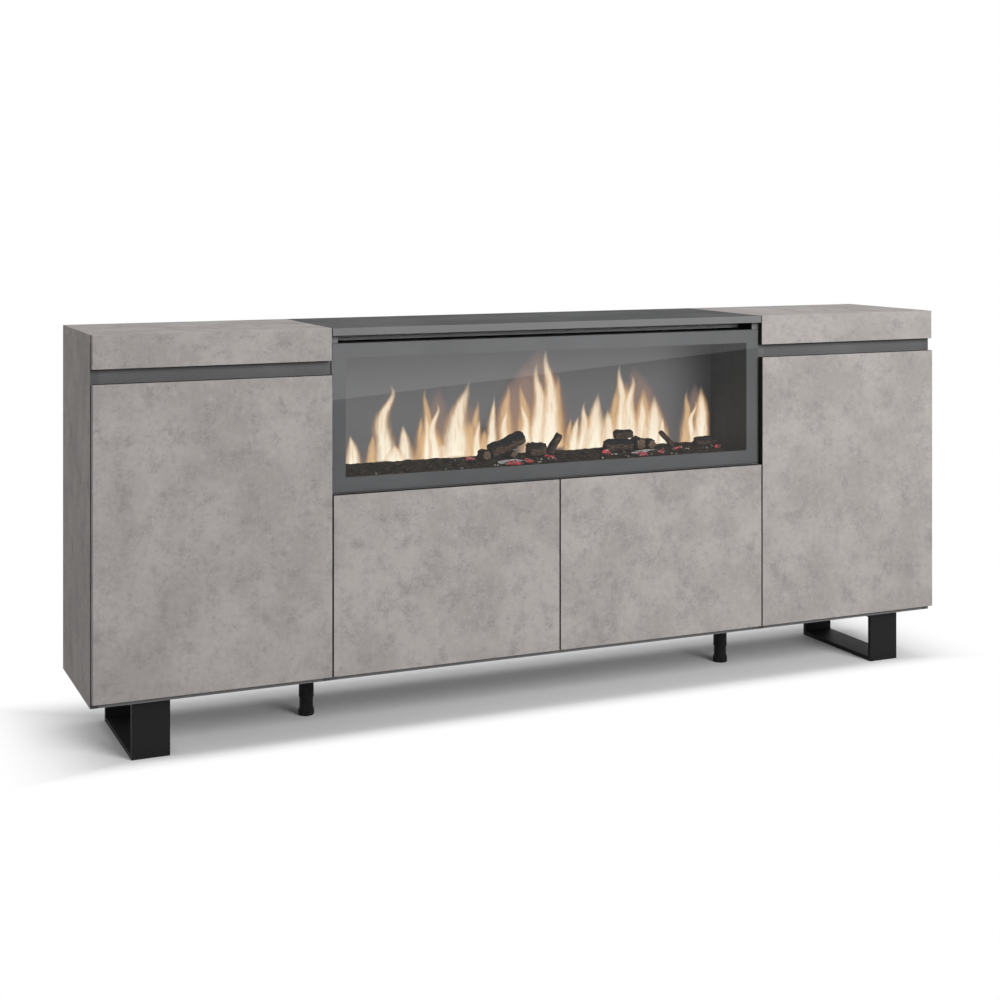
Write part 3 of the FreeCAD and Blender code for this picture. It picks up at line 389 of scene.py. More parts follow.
SCREW_HEAD = 3.6 * MM
SCREW_RISE = 1.3 * MM
SCREW_CORNERS = 24
SCREW_DOME_SHARES = ((1, 0), (0.93, 0.6), (0.76, 1))
CROSS_ARMS = 4
CROSS_ARM_CORNERS = 3
CROSS_ARM_SHARE = 0.62
CROSS_NOTCH_SHARE = 0.2
CROSS_DEPTH_SHARE = 0.85
PLATE_HALF = 22 * MM
PLATE_MIDDLE = 44 * MM
PLATE_SCREW_LIFT = 16 * MM
ARM_SCREW_PLACES = (40 * MM, 62 * MM)
ARM_SCREW_SHARE = 0.9
ARM_FACE = 12 * MM
PLATE_FACE = 2 * MM
HINGE_WALLS = ("left_side_panel", "right_side_panel", "middle_left_panel", "middle_right_panel")


def cross_screw(made, place, size):
    """A domed screw head with a cross recess, along the Z axis of a place."""
    head = size * SCREW_HEAD
    rise = size * SCREW_RISE
    rings = []
    for radius, height in (*SCREW_DOME_SHARES, (None, 1), (None, 1 - CROSS_DEPTH_SHARE)):
        ring = []
        for corner in range(SCREW_CORNERS):
            angle = math.tau * corner / SCREW_CORNERS
            arm = (corner + 1) % (SCREW_CORNERS // CROSS_ARMS) < CROSS_ARM_CORNERS
            share = radius or (CROSS_ARM_SHARE if arm else CROSS_NOTCH_SHARE)
            spot = Vector((math.cos(angle) * share * head, math.sin(angle) * share * head, height * rise))
            ring.append(made.verts.new(place @ spot))
        rings.append(ring)
    bridge(made, rings)
    made.faces.new(rings[0][::-1])
    made.faces.new(rings[-1])


hinge_screws = bmesh.new()
for door, upright in zip(DOORS, HINGE_WALLS):
    side = 1 if "right" not in door else -1
    panel_low, panel_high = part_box(upright)
    wall = panel_high.x if side > 0 else panel_low.x
    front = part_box(door)[0].y
    facing = Matrix.Rotation(side * math.pi / 2, 4, "Y")
    arms_low, arms_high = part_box(f"{door}_hinge_arms")
    for level in (arms_low.z + PLATE_HALF, arms_high.z - PLATE_HALF):
        for lift in (-PLATE_SCREW_LIFT, PLATE_SCREW_LIFT):
            spot = (wall + side * PLATE_FACE, front + PLATE_MIDDLE, level + lift)
            cross_screw(hinge_screws, Matrix.Translation(spot) @ facing, 1)
        for back in ARM_SCREW_PLACES:
            spot = (wall + side * ARM_FACE, front + back, level)
            cross_screw(hinge_screws, Matrix.Translation(spot) @ facing, ARM_SCREW_SHARE)
piece("hinge_screws", hinge_screws, zinc, "carcass")

# Door bumpers: small clear plastic domes stuck to the inside of each door at its free edge, which
# keep it from knocking on the carcass.
bumper_plastic, bumper_shader, bumper_place = new_finish("bumper_plastic", {"IOR": 1.45})
cloudy = bumper_place.noise(2.5 * MM, 3, 0.5)
cloudy.between(paint(196, 198, 198), paint(222, 223, 222)).into(bumper_shader, "Base Color")
(0.25 + cloudy * 0.2).into(bumper_shader, "Roughness")
BUMPER_RADIUS = 3.4 * MM
BUMPER_RISE = 2.3 * MM
BUMPER_INSET = 6 * MM
BUMPER_LIFT = 26 * MM
BUMPER_CORNERS = 20
BUMPER_DOME_SHARES = ((1, 0), (0.98, 0.3), (0.8, 0.72), (0.45, 1))
bumper_profile = [(BUMPER_RADIUS * wide, BUMPER_RISE * tall) for wide, tall in BUMPER_DOME_SHARES]
for door in DOORS:
    low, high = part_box(door)
    free_edge = high.x - BUMPER_INSET if "right" not in door else low.x + BUMPER_INSET
    bumpers = bmesh.new()
    for z in (low.z + BUMPER_LIFT, high.z - BUMPER_LIFT):
        stand = Matrix.Translation((free_edge, high.y, z)) @ Matrix.Rotation(-math.pi / 2, 4, "X")
        turned(bumpers, bumper_profile, stand, BUMPER_CORNERS)
    smooth(piece(f"{door}_bumpers", bumpers, bumper_plastic, door))

# Push latches of the two doors without a grip: grey moulded bodies under the fire's shelf with a
# sprung plunger that pushes the door open.
latch, latch_shader, latch_place = new_finish("latch_plastic", {"Specular IOR Level": 0.4})
matt = latch_place.noise(0.8 * MM, 3, 0.6)
swirl = latch_place.noise(14 * MM, 3, 0.5)
swirl.rise(0.3, 0.7).between(paint(138, 139, 141), paint(152, 153, 154)).into(latch_shader, "Base Color")
(0.4 + matt * 0.2).into(latch_shader, "Roughness")
matt.press(latch_shader, 0.04 * MM, 0.4)
dress(["push_latch_bodies", "left_push_plunger", "right_push_plunger"], latch)

# Fire housing: a box of folded sheet steel with louvres behind, painted heat-proof matt black. It
# slides into the middle carcass from the front.
housing, housing_shader, housing_place = new_finish("housing_paint", {"Specular IOR Level": 0.3})
soot = housing_place.noise(24 * MM, 5, 0.6)
orange_peel = housing_place.noise(1.2 * MM, 3, 0.5)
soot.rise(0.3, 0.7).between(paint(46, 45, 44), paint(58, 57, 55)).into(housing_shader, "Base Color")
(0.6 + orange_peel * 0.2).into(housing_shader, "Roughness")
orange_peel.press(housing_shader, 0.06 * MM, 0.4)
dress(["fire_housing"], housing)

# Fire border: a flat frame of sheet steel in satin graphite paint, screwed to the housing's front edge
# behind the glass.
border, border_shader, border_place = new_finish("border_paint", {"Specular IOR Level": 0.25})
fine = border_place.noise(9 * MM, 3, 0.6)
even = border_place.noise(120 * MM, 3, 0.5)
even.rise(0.3, 0.7).between(paint(84, 85, 86), paint(90, 91, 92)).into(border_shader, "Base Color")
(0.48 + fine * 0.1).into(border_shader, "Roughness")
dress(["fire_bezel"], border)

# Light bar: a white circuit board with a row of lamps behind the ember bed. It shines up past the
# turning tabs on to the flame screen.
LAMP_FOOT = 2.4 * MM
LAMP_FACE = 2.8 * MM
board_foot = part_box("led_bar")[0].z
board, board_shader, board_place = new_finish("lamp_board", {"Emission Strength": 0.6})
solder = board_place.noise(3 * MM, 3, 0.6)
lamp_top = board_place.part("Z").rise(board_foot + LAMP_FOOT, board_foot + LAMP_FACE)
mask = solder.rise(0.4, 0.6).between(paint(214, 216, 210), paint(232, 233, 228))
lamp_top.between(mask, paint(255, 208, 128)).into(board_shader, "Base Color")
lamp_top.between(paint(0, 0, 0), paint(255, 176, 84)).into(board_shader, "Emission Color")
(0.4 + solder * 0.2).into(board_shader, "Roughness")
dress(["led_bar"], board)

# Flicker rotor and motor: bright sheet tabs pressed on a steel shaft, turned slowly by a small geared
# motor in a zinc-plated can.
bright, bright_shader, bright_place = new_finish("bright_tabs", {"Metallic": 1})
rolled = bright_place.stretched((0.1, 1, 1)).noise(0.6 * MM, 3, 0.6)
rolled.rise(0.3, 0.7).between(paint(216, 217, 218), paint(236, 236, 235)).into(bright_shader, "Base Color")
(0.12 + rolled * 0.14).into(bright_shader, "Roughness")
dress(["flicker_rotor"], bright)
dress(["rotor_motor"], zinc)

# Flame screen: a sheet of smoked satin acrylic across the back of the fire, on which the flames show.
# It carries a painted glow, warmest just above the embers, which fades into painted shade at its right end.
PAINTED_SHADE_REACH = 170 * MM
PAINTED_GLOW_TOP = 110 * MM
PAINTED_GLOW_FOOT = 20 * MM
screen_low, screen_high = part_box("flame_screen")
screen, screen_shader, screen_place = new_finish("smoked_acrylic", {"Emission Strength": 1})
satin = screen_place.noise(1.5 * MM, 3, 0.5)
drift = screen_place.noise(140 * MM, 3, 0.5)
drift.rise(0.3, 0.7).between(paint(82, 83, 85), paint(88, 89, 91)).into(screen_shader, "Base Color")
(0.5 + satin * 0.15).into(screen_shader, "Roughness")
# A painted glow on the screen, warm above the embers and fading into painted shade at the right end.
painted_shade_fade = screen_place.part("X").rise(screen_high.x, screen_high.x - PAINTED_SHADE_REACH)
painted_warm_glow = screen_place.part("Z").rise(screen_low.z + PAINTED_GLOW_TOP, screen_low.z + PAINTED_GLOW_FOOT)
painted_screen_glow = painted_shade_fade.between(paint(6, 6, 6), paint(70, 70, 70))
(painted_warm_glow * drift * 0.5).between(painted_screen_glow, paint(84, 68, 58)).into(screen_shader, "Emission Color")
dress(["flame_screen"], screen)

# Ember bed: a moulded resin bed of charred bark and ash, painted by hand, with clear red patches that
# carry a painted red glow. It lies along the whole fire on the housing's floor.
bed_low, bed_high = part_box("ember_bed")
CHAR_FIXED = {"Specular IOR Level": 0.1, "Emission Strength": 1}
char, char_shader, char_place = new_finish("charred_bed", CHAR_FIXED)
crumbs = char_place.stretched((0.5, 1, 1)).noise(6 * MM, 5, 0.65)
flecks = char_place.stretched((0.7, 1, 1)).noise(2.6 * MM, 3, 0.6)
patches = char_place.noise(64 * MM, 2, 0.5)
colour = crumbs.rise(0.38, 0.62).between(paint(26, 23, 20), paint(58, 50, 41))
colour = (flecks.rise(0.56, 0.68) * crumbs.rise(0.45, 0.6)).between(colour, paint(122, 106, 74))
colour = (flecks.rise(0.36, 0.28) * patches.rise(0.6, 0.75)).between(colour, paint(128, 122, 116))
colour.into(char_shader, "Base Color")
(0.85 + flecks * 0.12).into(char_shader, "Roughness")
# The red patches are a painted glow.
painted_bed_glow = crumbs.rise(0.36, 0.3) * patches.rise(0.6, 0.7)
painted_bed_glow.between(paint(0, 0, 0), paint(150, 40, 34)).into(char_shader, "Emission Color")
(crumbs + flecks * 0.4).press(char_shader, 1.6 * MM, 0.8)

BED_COLUMNS = 300
BED_ROWS = 40
BED_LIP_DROP = 7 * MM
BED_LIP = bed_high.z - bed_low.z - BED_LIP_DROP
BED_SLOPE = 42 * MM
LUMP_SIZE = 9 * MM
LUMP_LONG = 26 * MM
LUMP_RISE = 5 * MM
LUMP_TOP_SHARE = 0.3
LUMP_FALL_SHARE = 0.9
ROUGH_SIZE_SHARE = 0.6
ROUGH_RISE_SHARE = 0.16


def bed_height(x, y):
    """The height of the bed's surface over its foot: bark slabs that lie along it."""
    share = min(1, (y - bed_low.y) / BED_SLOPE)
    even = BED_LIP + (bed_high.z - bed_low.z - BED_LIP) * share
    near = noise.voronoi(Vector((x / LUMP_LONG, y / LUMP_SIZE, 0)))[0][0]
    rough = noise.fractal(Vector((x, y, 3)) / (LUMP_SIZE * ROUGH_SIZE_SHARE), 0.8, 2, 4)
    slabs = LUMP_RISE * (LUMP_TOP_SHARE - near * LUMP_FALL_SHARE)
    return even + slabs + rough * LUMP_RISE * ROUGH_RISE_SHARE


def on_bed(x, y, lift):
    """A spot at this height over the bed's surface."""
    return x, y, bed_low.z + bed_height(x, y) + lift


bed = bmesh.new()
surface = []
for column in range(BED_COLUMNS + 1):
    x = bed_low.x + (bed_high.x - bed_low.x) * column / BED_COLUMNS
    line = []
    for row in range(BED_ROWS + 1):
        y = bed_low.y + (bed_high.y - bed_low.y) * row / BED_ROWS
        line.append(bed.verts.new(on_bed(x, y, 0)))
    surface.append(line)
for here, there in zip(surface, surface[1:]):
    for row in range(BED_ROWS):
        bed.faces.new((here[row], there[row], there[row + 1], here[row + 1]))
rim = [line[0] for line in surface] + surface[-1][1:]
rim += [line[-1] for line in surface[-2::-1]] + surface[0][-2:0:-1]
foot = [bed.verts.new((vert.co.x, vert.co.y, bed_low.z)) for vert in rim]
for spot in range(len(rim)):
    after = (spot + 1) % len(rim)
    bed.faces.new((rim[spot], foot[spot], foot[after], rim[after]))
bed.faces.new(foot)
ember_bed = smooth(piece("charred_ember_bed", bed, char, "carcass"))
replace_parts(ember_bed, "ember_bed")

# Bark chips, embers and ash: loose resin castings glued on the bed, thickest in front of the logs.
# Some embers are clear and carry a painted red glow between pale ash.
LUMP_DETAIL = 2
CHIP_COUNT = 150
CHIP_EDGE = 14 * MM
CHIP_FRONT = 8 * MM
CHIP_DEPTH = 92 * MM
CHIP_LENGTHS = (6, 16)
EMBER_COUNT = 33
EMBER_EDGE = 7 * MM
EMBER_SPREAD = (9, 4)
EMBER_LENGTHS = (5, 10)
EMBER_GROUPS = ((-80, -94), (22, -76), (251, -92), (357, -74), (450, -70), (-167, -40), (-32, -88))
EMBER_GROUPS += ((167, -80), (296, -86), (-80, -94), (251, -92))
ASH_COUNT = 77
ASH_EDGE = 5 * MM
ASH_SPREAD = (20, 7)
ASH_LENGTHS = (1.5, 4)
ASH_LIFT = 1.5 * MM
ASH_SLABS = ((-82, -83), (252, -82))
SLAB_HALVES = (24 * MM, 4 * MM, 1.8 * MM)
SLAB_TURN = (0.5, -0.06, 0.05)
SLAB_LIFT = 4 * MM
CRUMB_COUNT = 12
CRUMB_EDGE = 20 * MM
CRUMB_FRONT = 4 * MM
CRUMB_LENGTHS = (1.2, 2.2)


def lump(made, spot, size, turn, seed, roughness):
    """A rough lump of these three half sizes at a spot, turned by these angles."""
    grown = bmesh.ops.create_icosphere(made, subdivisions=LUMP_DETAIL, radius=1)["verts"]
    turning = Matrix.Rotation(turn[2], 3, "Z") @ Matrix.Rotation(turn[1], 3, "Y")
    turning = turning @ Matrix.Rotation(turn[0], 3, "X")
    for vert in grown:
        swell = 1 + roughness * noise.fractal(vert.co * 1.3 + Vector((seed, seed * 0.7, 5)), 0.7, 2, 3)
        flat = Vector(size) * swell
        grown_to = Vector((vert.co.x * flat.x, vert.co.y * flat.y, vert.co.z * flat.z))
        vert.co = Vector(spot) + turning @ grown_to


chance = random.Random(11)
chips = bmesh.new()
for number in range(CHIP_COUNT):
    x = chance.uniform(bed_low.x + CHIP_EDGE, bed_high.x - CHIP_EDGE)
    y = bed_low.y + chance.uniform(CHIP_FRONT, CHIP_DEPTH)
    long = chance.uniform(*CHIP_LENGTHS) * MM
    size = (long, long * chance.uniform(0.3, 0.5), long * chance.uniform(0.15, 0.3))
    turn = (chance.uniform(-0.5, 0.5), chance.uniform(-0.25, 0.25), chance.gauss(0, 0.5))
    lump(chips, on_bed(x, y, size[2] * 0.2), size, turn, number, 0.5)
piece("bark_chips", chips, char, "carcass")

PAINTED_GLOW_RESIN = {"Specular IOR Level": 0.2, "Emission Strength": 1}
coal, coal_shader, coal_place = new_finish("ember_painted_glow", PAINTED_GLOW_RESIN)
cracks = coal_place.noise(5 * MM, 4, 0.6)
dusting = coal_place.noise(3 * MM, 4, 0.6)
upper = coal_place.node("ShaderNodeTexCoord", out="Normal").part("Z")
ash_share = dusting.rise(0.46, 0.6) * upper.rise(0.1, 0.8)
shell = cracks.rise(0.4, 0.62).between(paint(92, 44, 42), paint(46, 36, 34))
ash_share.between(shell, paint(186, 180, 178)).into(coal_shader, "Base Color")
# The clear embers' red is a painted glow.
painted_ember_glow = cracks.rise(0.54, 0.4) * (1 - ash_share)
painted_ember_glow.between(paint(20, 5, 6), paint(214, 52, 62)).into(coal_shader, "Emission Color")
(0.75 + dusting * 0.2).into(coal_shader, "Roughness")
dusting.press(coal_shader, 0.8 * MM, 0.6)
embers = bmesh.new()
for number in range(EMBER_COUNT):
    x, y = EMBER_GROUPS[number % len(EMBER_GROUPS)]
    x = min(bed_high.x - EMBER_EDGE, x * MM + chance.gauss(0, EMBER_SPREAD[0]) * MM)
    y = max(bed_low.y + EMBER_EDGE, y * MM + chance.gauss(0, EMBER_SPREAD[1]) * MM)
    long = chance.uniform(*EMBER_LENGTHS) * MM
    size = (long, long * chance.uniform(0.5, 0.8), long * chance.uniform(0.45, 0.8))
    turn = (chance.uniform(-0.6, 0.6), chance.uniform(-0.6, 0.6), chance.uniform(0, math.pi))
    lump(embers, on_bed(x, y, size[2] * 0.5), size, turn, number + 0.5, 0.6)
piece("glowing_embers", embers, coal, "carcass")

ash, ash_shader, ash_place = new_finish("pale_ash", {"Specular IOR Level": 0.2})
powdery = ash_place.noise(1.4 * MM, 4, 0.6)
powdery.rise(0.35, 0.65).between(paint(96, 93, 92), paint(204, 202, 200)).into(ash_shader, "Base Color")
(0.85 + powdery * 0.1).into(ash_shader, "Roughness")
powdery.press(ash_shader, 0.4 * MM, 0.6)
flakes = bmesh.new()
for number in range(ASH_COUNT):
    x, y = EMBER_GROUPS[number % len(EMBER_GROUPS)]
    x = min(bed_high.x - ASH_EDGE, x * MM + chance.gauss(0, ASH_SPREAD[0]) * MM)
    y = max(bed_low.y + ASH_EDGE, y * MM + chance.gauss(0, ASH_SPREAD[1]) * MM)
    long = chance.uniform(*ASH_LENGTHS) * MM
    size = (long, long * chance.uniform(0.4, 0.8), long * chance.uniform(0.2, 0.5))
    turn = (chance.uniform(-0.5, 0.5), chance.uniform(-0.5, 0.5), chance.uniform(0, math.pi))
    lump(flakes, on_bed(x, y, size[2] * 0.6 + ASH_LIFT), size, turn, number + 0.25, 0.6)
for number, (x, y) in enumerate(ASH_SLABS):
    lump(flakes, on_bed(x * MM, y * MM, SLAB_LIFT), SLAB_HALVES, SLAB_TURN, number + 0.4, 1.1)
for number in range(CRUMB_COUNT):
    x = chance.uniform(bed_low.x + CRUMB_EDGE, bed_high.x - CRUMB_EDGE)
    crumb = chance.uniform(*CRUMB_LENGTHS) * MM
    spot = on_bed(x, bed_low.y + CRUMB_FRONT, crumb * 0.6)
    lump(flakes, spot, (crumb, crumb, crumb), (0, 0, 0), number, 0.4)
piece("ash_flakes", flakes, ash, "carcass")

# Logs: resin castings of split and burnt logs on the flat of the bed, black where the flames licked
# them, with brown bark below and red cracks between that carry a painted glow.
bark, bark_shader, bark_place = new_finish("burnt_bark", PAINTED_GLOW_RESIN)
fibre = bark_place.stretched((0.3, 1, 1)).noise(3.2 * MM, 5, 0.65)
scales = bark_place.noise(10 * MM, 4, 0.6)
upward = bark_place.node("ShaderNodeTexCoord", out="Normal").part("Z")
licked = (upward + (scales - 0.5) * 0.8).rise(-0.1, 0.35)
brown = fibre.rise(0.3, 0.7).between(paint(46, 37, 31), paint(112, 92, 75))
black = fibre.rise(0.35, 0.7).between(paint(16, 16, 16), paint(48, 45, 44))
licked.between(brown, black).into(bark_shader, "Base Color")
(0.78 + fibre * 0.18).into(bark_shader, "Roughness")
# The red cracks carry a painted glow.
painted_crack_glow = fibre.rise(0.36, 0.3) * scales.rise(0.58, 0.68)
painted_crack_glow.between(paint(0, 0, 0), paint(150, 38, 32)).into(bark_shader, "Emission Color")
(fibre + scales * 0.6).press(bark_shader, 1.4 * MM, 0.9)

cut_wood, cut_shader, cut_place = new_finish("cut_log_end", {"Specular IOR Level": 0.1})
rings_of_wood = cut_place.noise(3 * MM, 4, 0.6)
wood_colour = rings_of_wood.rise(0.35, 0.65).between(paint(74, 60, 50), paint(132, 110, 90))
wood_colour.into(cut_shader, "Base Color")
(0.8 + rings_of_wood * 0.15).into(cut_shader, "Roughness")
rings_of_wood.press(cut_shader, 0.8 * MM, 0.6)

LOG_CORNERS = 36
LOG_RINGS = 34
LOG_RADIUS = 18 * MM
LOG_TAPER_SHARE = 0.92
LOG_END_SHARE = 0.86
LOG_END_STEEPNESS = 9
RIDGE_SHARE = 0.24
RIDGES_AROUND = 2.4
RIDGE_LONG = 26 * MM
RIDGE_SHIFT = 9
RAGGED_END = 3 * MM
CUT_HOLLOW = 2 * MM
LOG_SHARES = (
    (-0.268, 0.00, 0.040, 0.60, 90, 0, 0),
    (-0.237, 0.21, 0.092, 0.90, 0, 20, 0),
    (-0.126, 0.02, 0.043, 0.45, 90, 0, 0),
    (-0.045, 0.14, 0.046, 0.85, 0, 0, 0),
    (0.075, 0.20, 0.052, 0.50, 0, 58, 0),
    (0.371, 0.12, 0.073, 0.75, 0, 0, 0),
    (0.425, 0.12, 0.047, 0.60, 0, 0, 1.5),
    (0.565, 0.02, 0.045, 0.75, 90, 0, 0),
    (0.630, 0.06, 0.040, 0.60, 90, 0, 0),
    (0.759, 0.20, 0.050, 0.33, 180, 45, 0),
    (0.885, 0.14, 0.055, 0.60, 0, 0, 0),
)


def burnt_log(made, start, along, length, thick, seed):
    """A slightly tapered log with ridged bark and broken ends, from a start along a direction."""
    along = along.normalized()
    side = along.cross(Vector((0, 0, 1))).normalized()
    rise = side.cross(along)
    rings = []
    for ring_number in range(LOG_RINGS + 1):
        share = ring_number / LOG_RINGS
        radius = thick * (1 - (1 - LOG_TAPER_SHARE) * share)
        end = min(share, 1 - share)
        radius *= LOG_END_SHARE + (1 - LOG_END_SHARE) * min(1, end * LOG_END_STEEPNESS)
        ring = []
        for corner in range(LOG_CORNERS):
            angle = math.tau * corner / LOG_CORNERS
            round_x = math.cos(angle) * RIDGES_AROUND
            round_y = math.sin(angle) * RIDGES_AROUND
            spot = Vector((round_x, round_y, share * length / RIDGE_LONG + seed * RIDGE_SHIFT))
            ridge = noise.fractal(spot, 0.7, 2, 4)
            grown = radius * (1 + RIDGE_SHARE * ridge)
            ragged = 0
            if ring_number in (0, LOG_RINGS):
                ragged = RAGGED_END * noise.noise(spot * 2.2)
            around = side * math.cos(angle) + rise * math.sin(angle)
            ring.append(made.verts.new(start + along * (share * length + ragged) + around * grown))
        rings.append(ring)
    bridge(made, rings)
    for ring, inward in ((rings[0], 1), (rings[-1], -1)):
        middle = sum((vert.co for vert in ring), Vector()) / LOG_CORNERS
        centre = made.verts.new(middle + along * inward * CUT_HOLLOW)
        for corner in range(LOG_CORNERS):
            made.faces.new((ring[corner], ring[(corner + 1) % LOG_CORNERS], centre)).material_index = 1


logs = bmesh.new()
bed_length = bed_high.x - bed_low.x
flat_y = bed_low.y + BED_SLOPE
flat_depth = bed_high.y - flat_y
for number, (place_share, depth_share, long_share, thick_share, turn, lean, perch) in enumerate(LOG_SHARES):
    tilt = math.radians(lean)
    way = math.radians(turn)
    axis_up = bed_high.z + (perch + thick_share * math.cos(tilt)) * LOG_RADIUS
    start = Vector((place_share * bed_length / 2, flat_y + depth_share * flat_depth, axis_up))
    heading = Vector((math.cos(way) * math.cos(tilt), math.sin(way) * math.cos(tilt), math.sin(tilt)))
    burnt_log(logs, start, heading, long_share * bed_length, thick_share * LOG_RADIUS, number + 1)
fire_logs = smooth(piece("burnt_logs", logs, bark, "carcass"))
fire_logs.data.materials.append(cut_wood)
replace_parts(fire_logs, "fire_logs")

# Flames: the moving light that the lamps and the turning tabs throw on the screen, seen as soft cream
# tongues with tan edges and a brown haze about the tall ones. They stand on the screen's face.
FLAME_ROWS = 48
FLAME_COLUMNS = 14
FLAME_GAP = 1.5 * MM
FLAME_STEP = 0.5 * MM
FLAME_BOW = 1 * MM
FLAME_MARGIN = 3 * MM
SKIRT_SHARE = 0.3
SKIRT_STEEPNESS = 9
BELLY_SHARE = 0.35
TAPER_POWER = 0.9
LEAST_SHARE = 0.015
LEAN_POWER = 2.5
CURL_POWER = 1.6
FULL_SHARE = 1.5
TIP_SHARE = 1.1
CREAM_FLAMES = (
    (-408, -4, 64, -9, 32, 0),
    (-333, -4, 166, -2, 44, 22),
    (-312, -4, 38, 0, 48, 0),
    (-288, -4, 79, -6, 36, 0),
    (-236, -4, 108, 2, 22, -4),
    (-217, -4, 124, -6, 26, 14),
    (-200, -4, 34, 0, 52, 0),
    (-167, -4, 164, 32, 64, 6),
    (-116, -4, 82, 4, 22, 3),
    (-80, -4, 131, 9, 28, 0),
    (-48, 20, 80, 0, 24, 5),
    (4, 20, 92, -10, 26, -5),
    (28, -4, 80, 4, 60, 0),
    (36, 4, 192, 2, 46, -9),
    (66, 4, 222, -6, 48, -10),
    (127, -4, 78, 14, 30, 0),
    (150, -4, 108, 8, 32, -5),
    (181, -4, 126, 9, 54, 0),
    (218, -4, 88, -6, 50, 0),
    (250, 4, 182, 1, 38, -8),
    (275, 4, 158, -7, 40, 13),
    (302, 4, 110, 10, 36, -4),
    (338, -4, 114, -1, 62, 0),
    (359, -4, 68, -1, 28, 0),
    (443, -6, 100, -5, 24, 14),
    (468, -4, 122, -5, 50, 0),
)
TAN_FLAMES = (
    (-364, -4, 64, 3, 26, 0),
    (-250, -4, 99, 1, 30, 0),
    (-237, -4, 158, 4, 34, -8),
    (-207, -4, 54, 0, 30, 0),
    (-121, -4, 124, 9, 36, 3),
    (-98, -4, 62, 2, 32, 0),
    (-44, 20, 132, 4, 46, 5),
    (2, 20, 134, -8, 44, -5),
    (84, 4, 168, 0, 46, 4),
    (114, -4, 76, 8, 28, 0),
    (-226, -4, 92, 0, 70, 0),
    (-136, -4, 82, 0, 92, 0),
    (56, 0, 150, 4, 96, 0),
    (170, -4, 84, 6, 96, 0),
    (232, -4, 84, -3, 36, 0),
    (232, 4, 140, 14, 42, 0),
    (264, 4, 140, 0, 76, 0),
    (310, 0, 130, 0, 70, 0),
    (425, -6, 126, 9, 34, -6),
    (470, -4, 130, -4, 62, 0),
)
HAZES = (
    (26, 30, 206, 22, 170, 0),
    (-4, 24, 176, 8, 130, 0),
    (-36, 24, 142, 10, 92, 0),
    (78, 24, 160, 2, 66, 0),
    (304, 24, 160, -22, 124, 0),
    (322, 20, 132, -8, 84, 0),
    (-212, 6, 152, 10, 84, 0),
    (-128, 6, 116, 4, 60, 0),
    (448, 20, 116, 4, 66, 0),
)


def tongue(made, lay, shape, face_y):
    """A flame tongue as a sheet within the screen's ends: wide at its foot, bent and drawn to a point."""
    foot_x, foot_up, height, lean, width, curl = (length * MM for length in shape)
    grid = []
    for row in range(FLAME_ROWS + 1):
        up = row / FLAME_ROWS
        skirt = SKIRT_SHARE * math.exp(-SKIRT_STEEPNESS * up)
        belly = (1 - up) ** TAPER_POWER * (1 + BELLY_SHARE * math.sin(math.pi * up))
        half = FULL_SHARE * width / 2 * max(LEAST_SHARE, belly + skirt)
        bend = -curl * up * math.sin(math.tau * up ** CURL_POWER)
        middle = foot_x + lean * up ** LEAN_POWER + bend
        left_half = min(half, middle - screen_low.x - FLAME_MARGIN)
        right_half = min(half, screen_high.x - FLAME_MARGIN - middle)
        lift = foot_up + up * height * TIP_SHARE
        line = []
        for column in range(FLAME_COLUMNS + 1):
            across = column / FLAME_COLUMNS * 2 - 1
            aside = across * (left_half if across < 0 else right_half)
            bow = (1 - across * across) * FLAME_BOW
            spot = made.verts.new((middle + aside, face_y - bow, bed_high.z + lift))
            line.append((spot, across, up))
        grid.append(line)
    for lower, upper in zip(grid, grid[1:]):
        for column in range(FLAME_COLUMNS):
            corners = (lower[column], lower[column + 1], upper[column + 1], upper[column])
            face = made.faces.new([corner[0] for corner in corners])
            for loop, corner in zip(face.loops, corners):
                loop[lay].uv = (corner[1] * 0.5 + 0.5, corner[2])


def flame_finish(name, edge, core, most):
    """Light that is thick in a tongue's middle and fades to its edges and its tip."""
    finish, shader, place = new_finish(name, {"Base Color": (0, 0, 0, 1), "Specular IOR Level": 0})
    shader.inputs["Emission Strength"].default_value = 1.15
    lay = place.node("ShaderNodeUVMap", {"uv_map": "flame_lay"})
    side = abs(lay.part("X") * 2 - 1)
    up = lay.part("Y")
    wisps = place.stretched((1, 1, 0.2)).noise(8 * MM, 4, 0.6)
    streaks = place.stretched((1, 1, 0.12)).noise(5 * MM, 3, 0.5)
    body = 1 - side + (wisps - 0.5) * 0.5
    heart = body.rise(0.15, 0.85) * (1 - up * 0.5) * (1 - streaks.rise(0.5, 0.75) * 0.4)
    heart.between(edge, core).into(shader, "Emission Color")
    thick = body.rise(0, 0.85) * up.rise(1, 0.66) * up.rise(0, 0.05)
    (thick * most).into(shader, "Alpha")
    return finish


def flame_sheet(name, shapes, finish, gap, layers):
    """A set of tongues as one sheet, in layers a little apart."""
    made = bmesh.new()
    lay = made.loops.layers.uv.new("flame_lay")
    for number, shape in enumerate(shapes):
        tongue(made, lay, shape, screen_low.y - gap - number % layers * FLAME_STEP)
    light = smooth(piece(name, made, finish, "carcass"))
    light.visible_diffuse = False
    light.visible_shadow = False


brown_haze = flame_finish("flame_haze", paint(132, 110, 102), paint(156, 128, 112), 0.5)
tan_light = flame_finish("tan_flame", paint(158, 120, 90), paint(229, 194, 146), 0.85)
cream_light = flame_finish("cream_flame", paint(204, 154, 98), paint(253, 245, 224), 0.97)
flame_sheet("flame_haze", HAZES, brown_haze, FLAME_GAP, 2)
flame_sheet("tan_flames", TAN_FLAMES, tan_light, 2 * FLAME_GAP, 3)
flame_sheet("cream_flames", CREAM_FLAMES, cream_light, 4 * FLAME_GAP, 3)

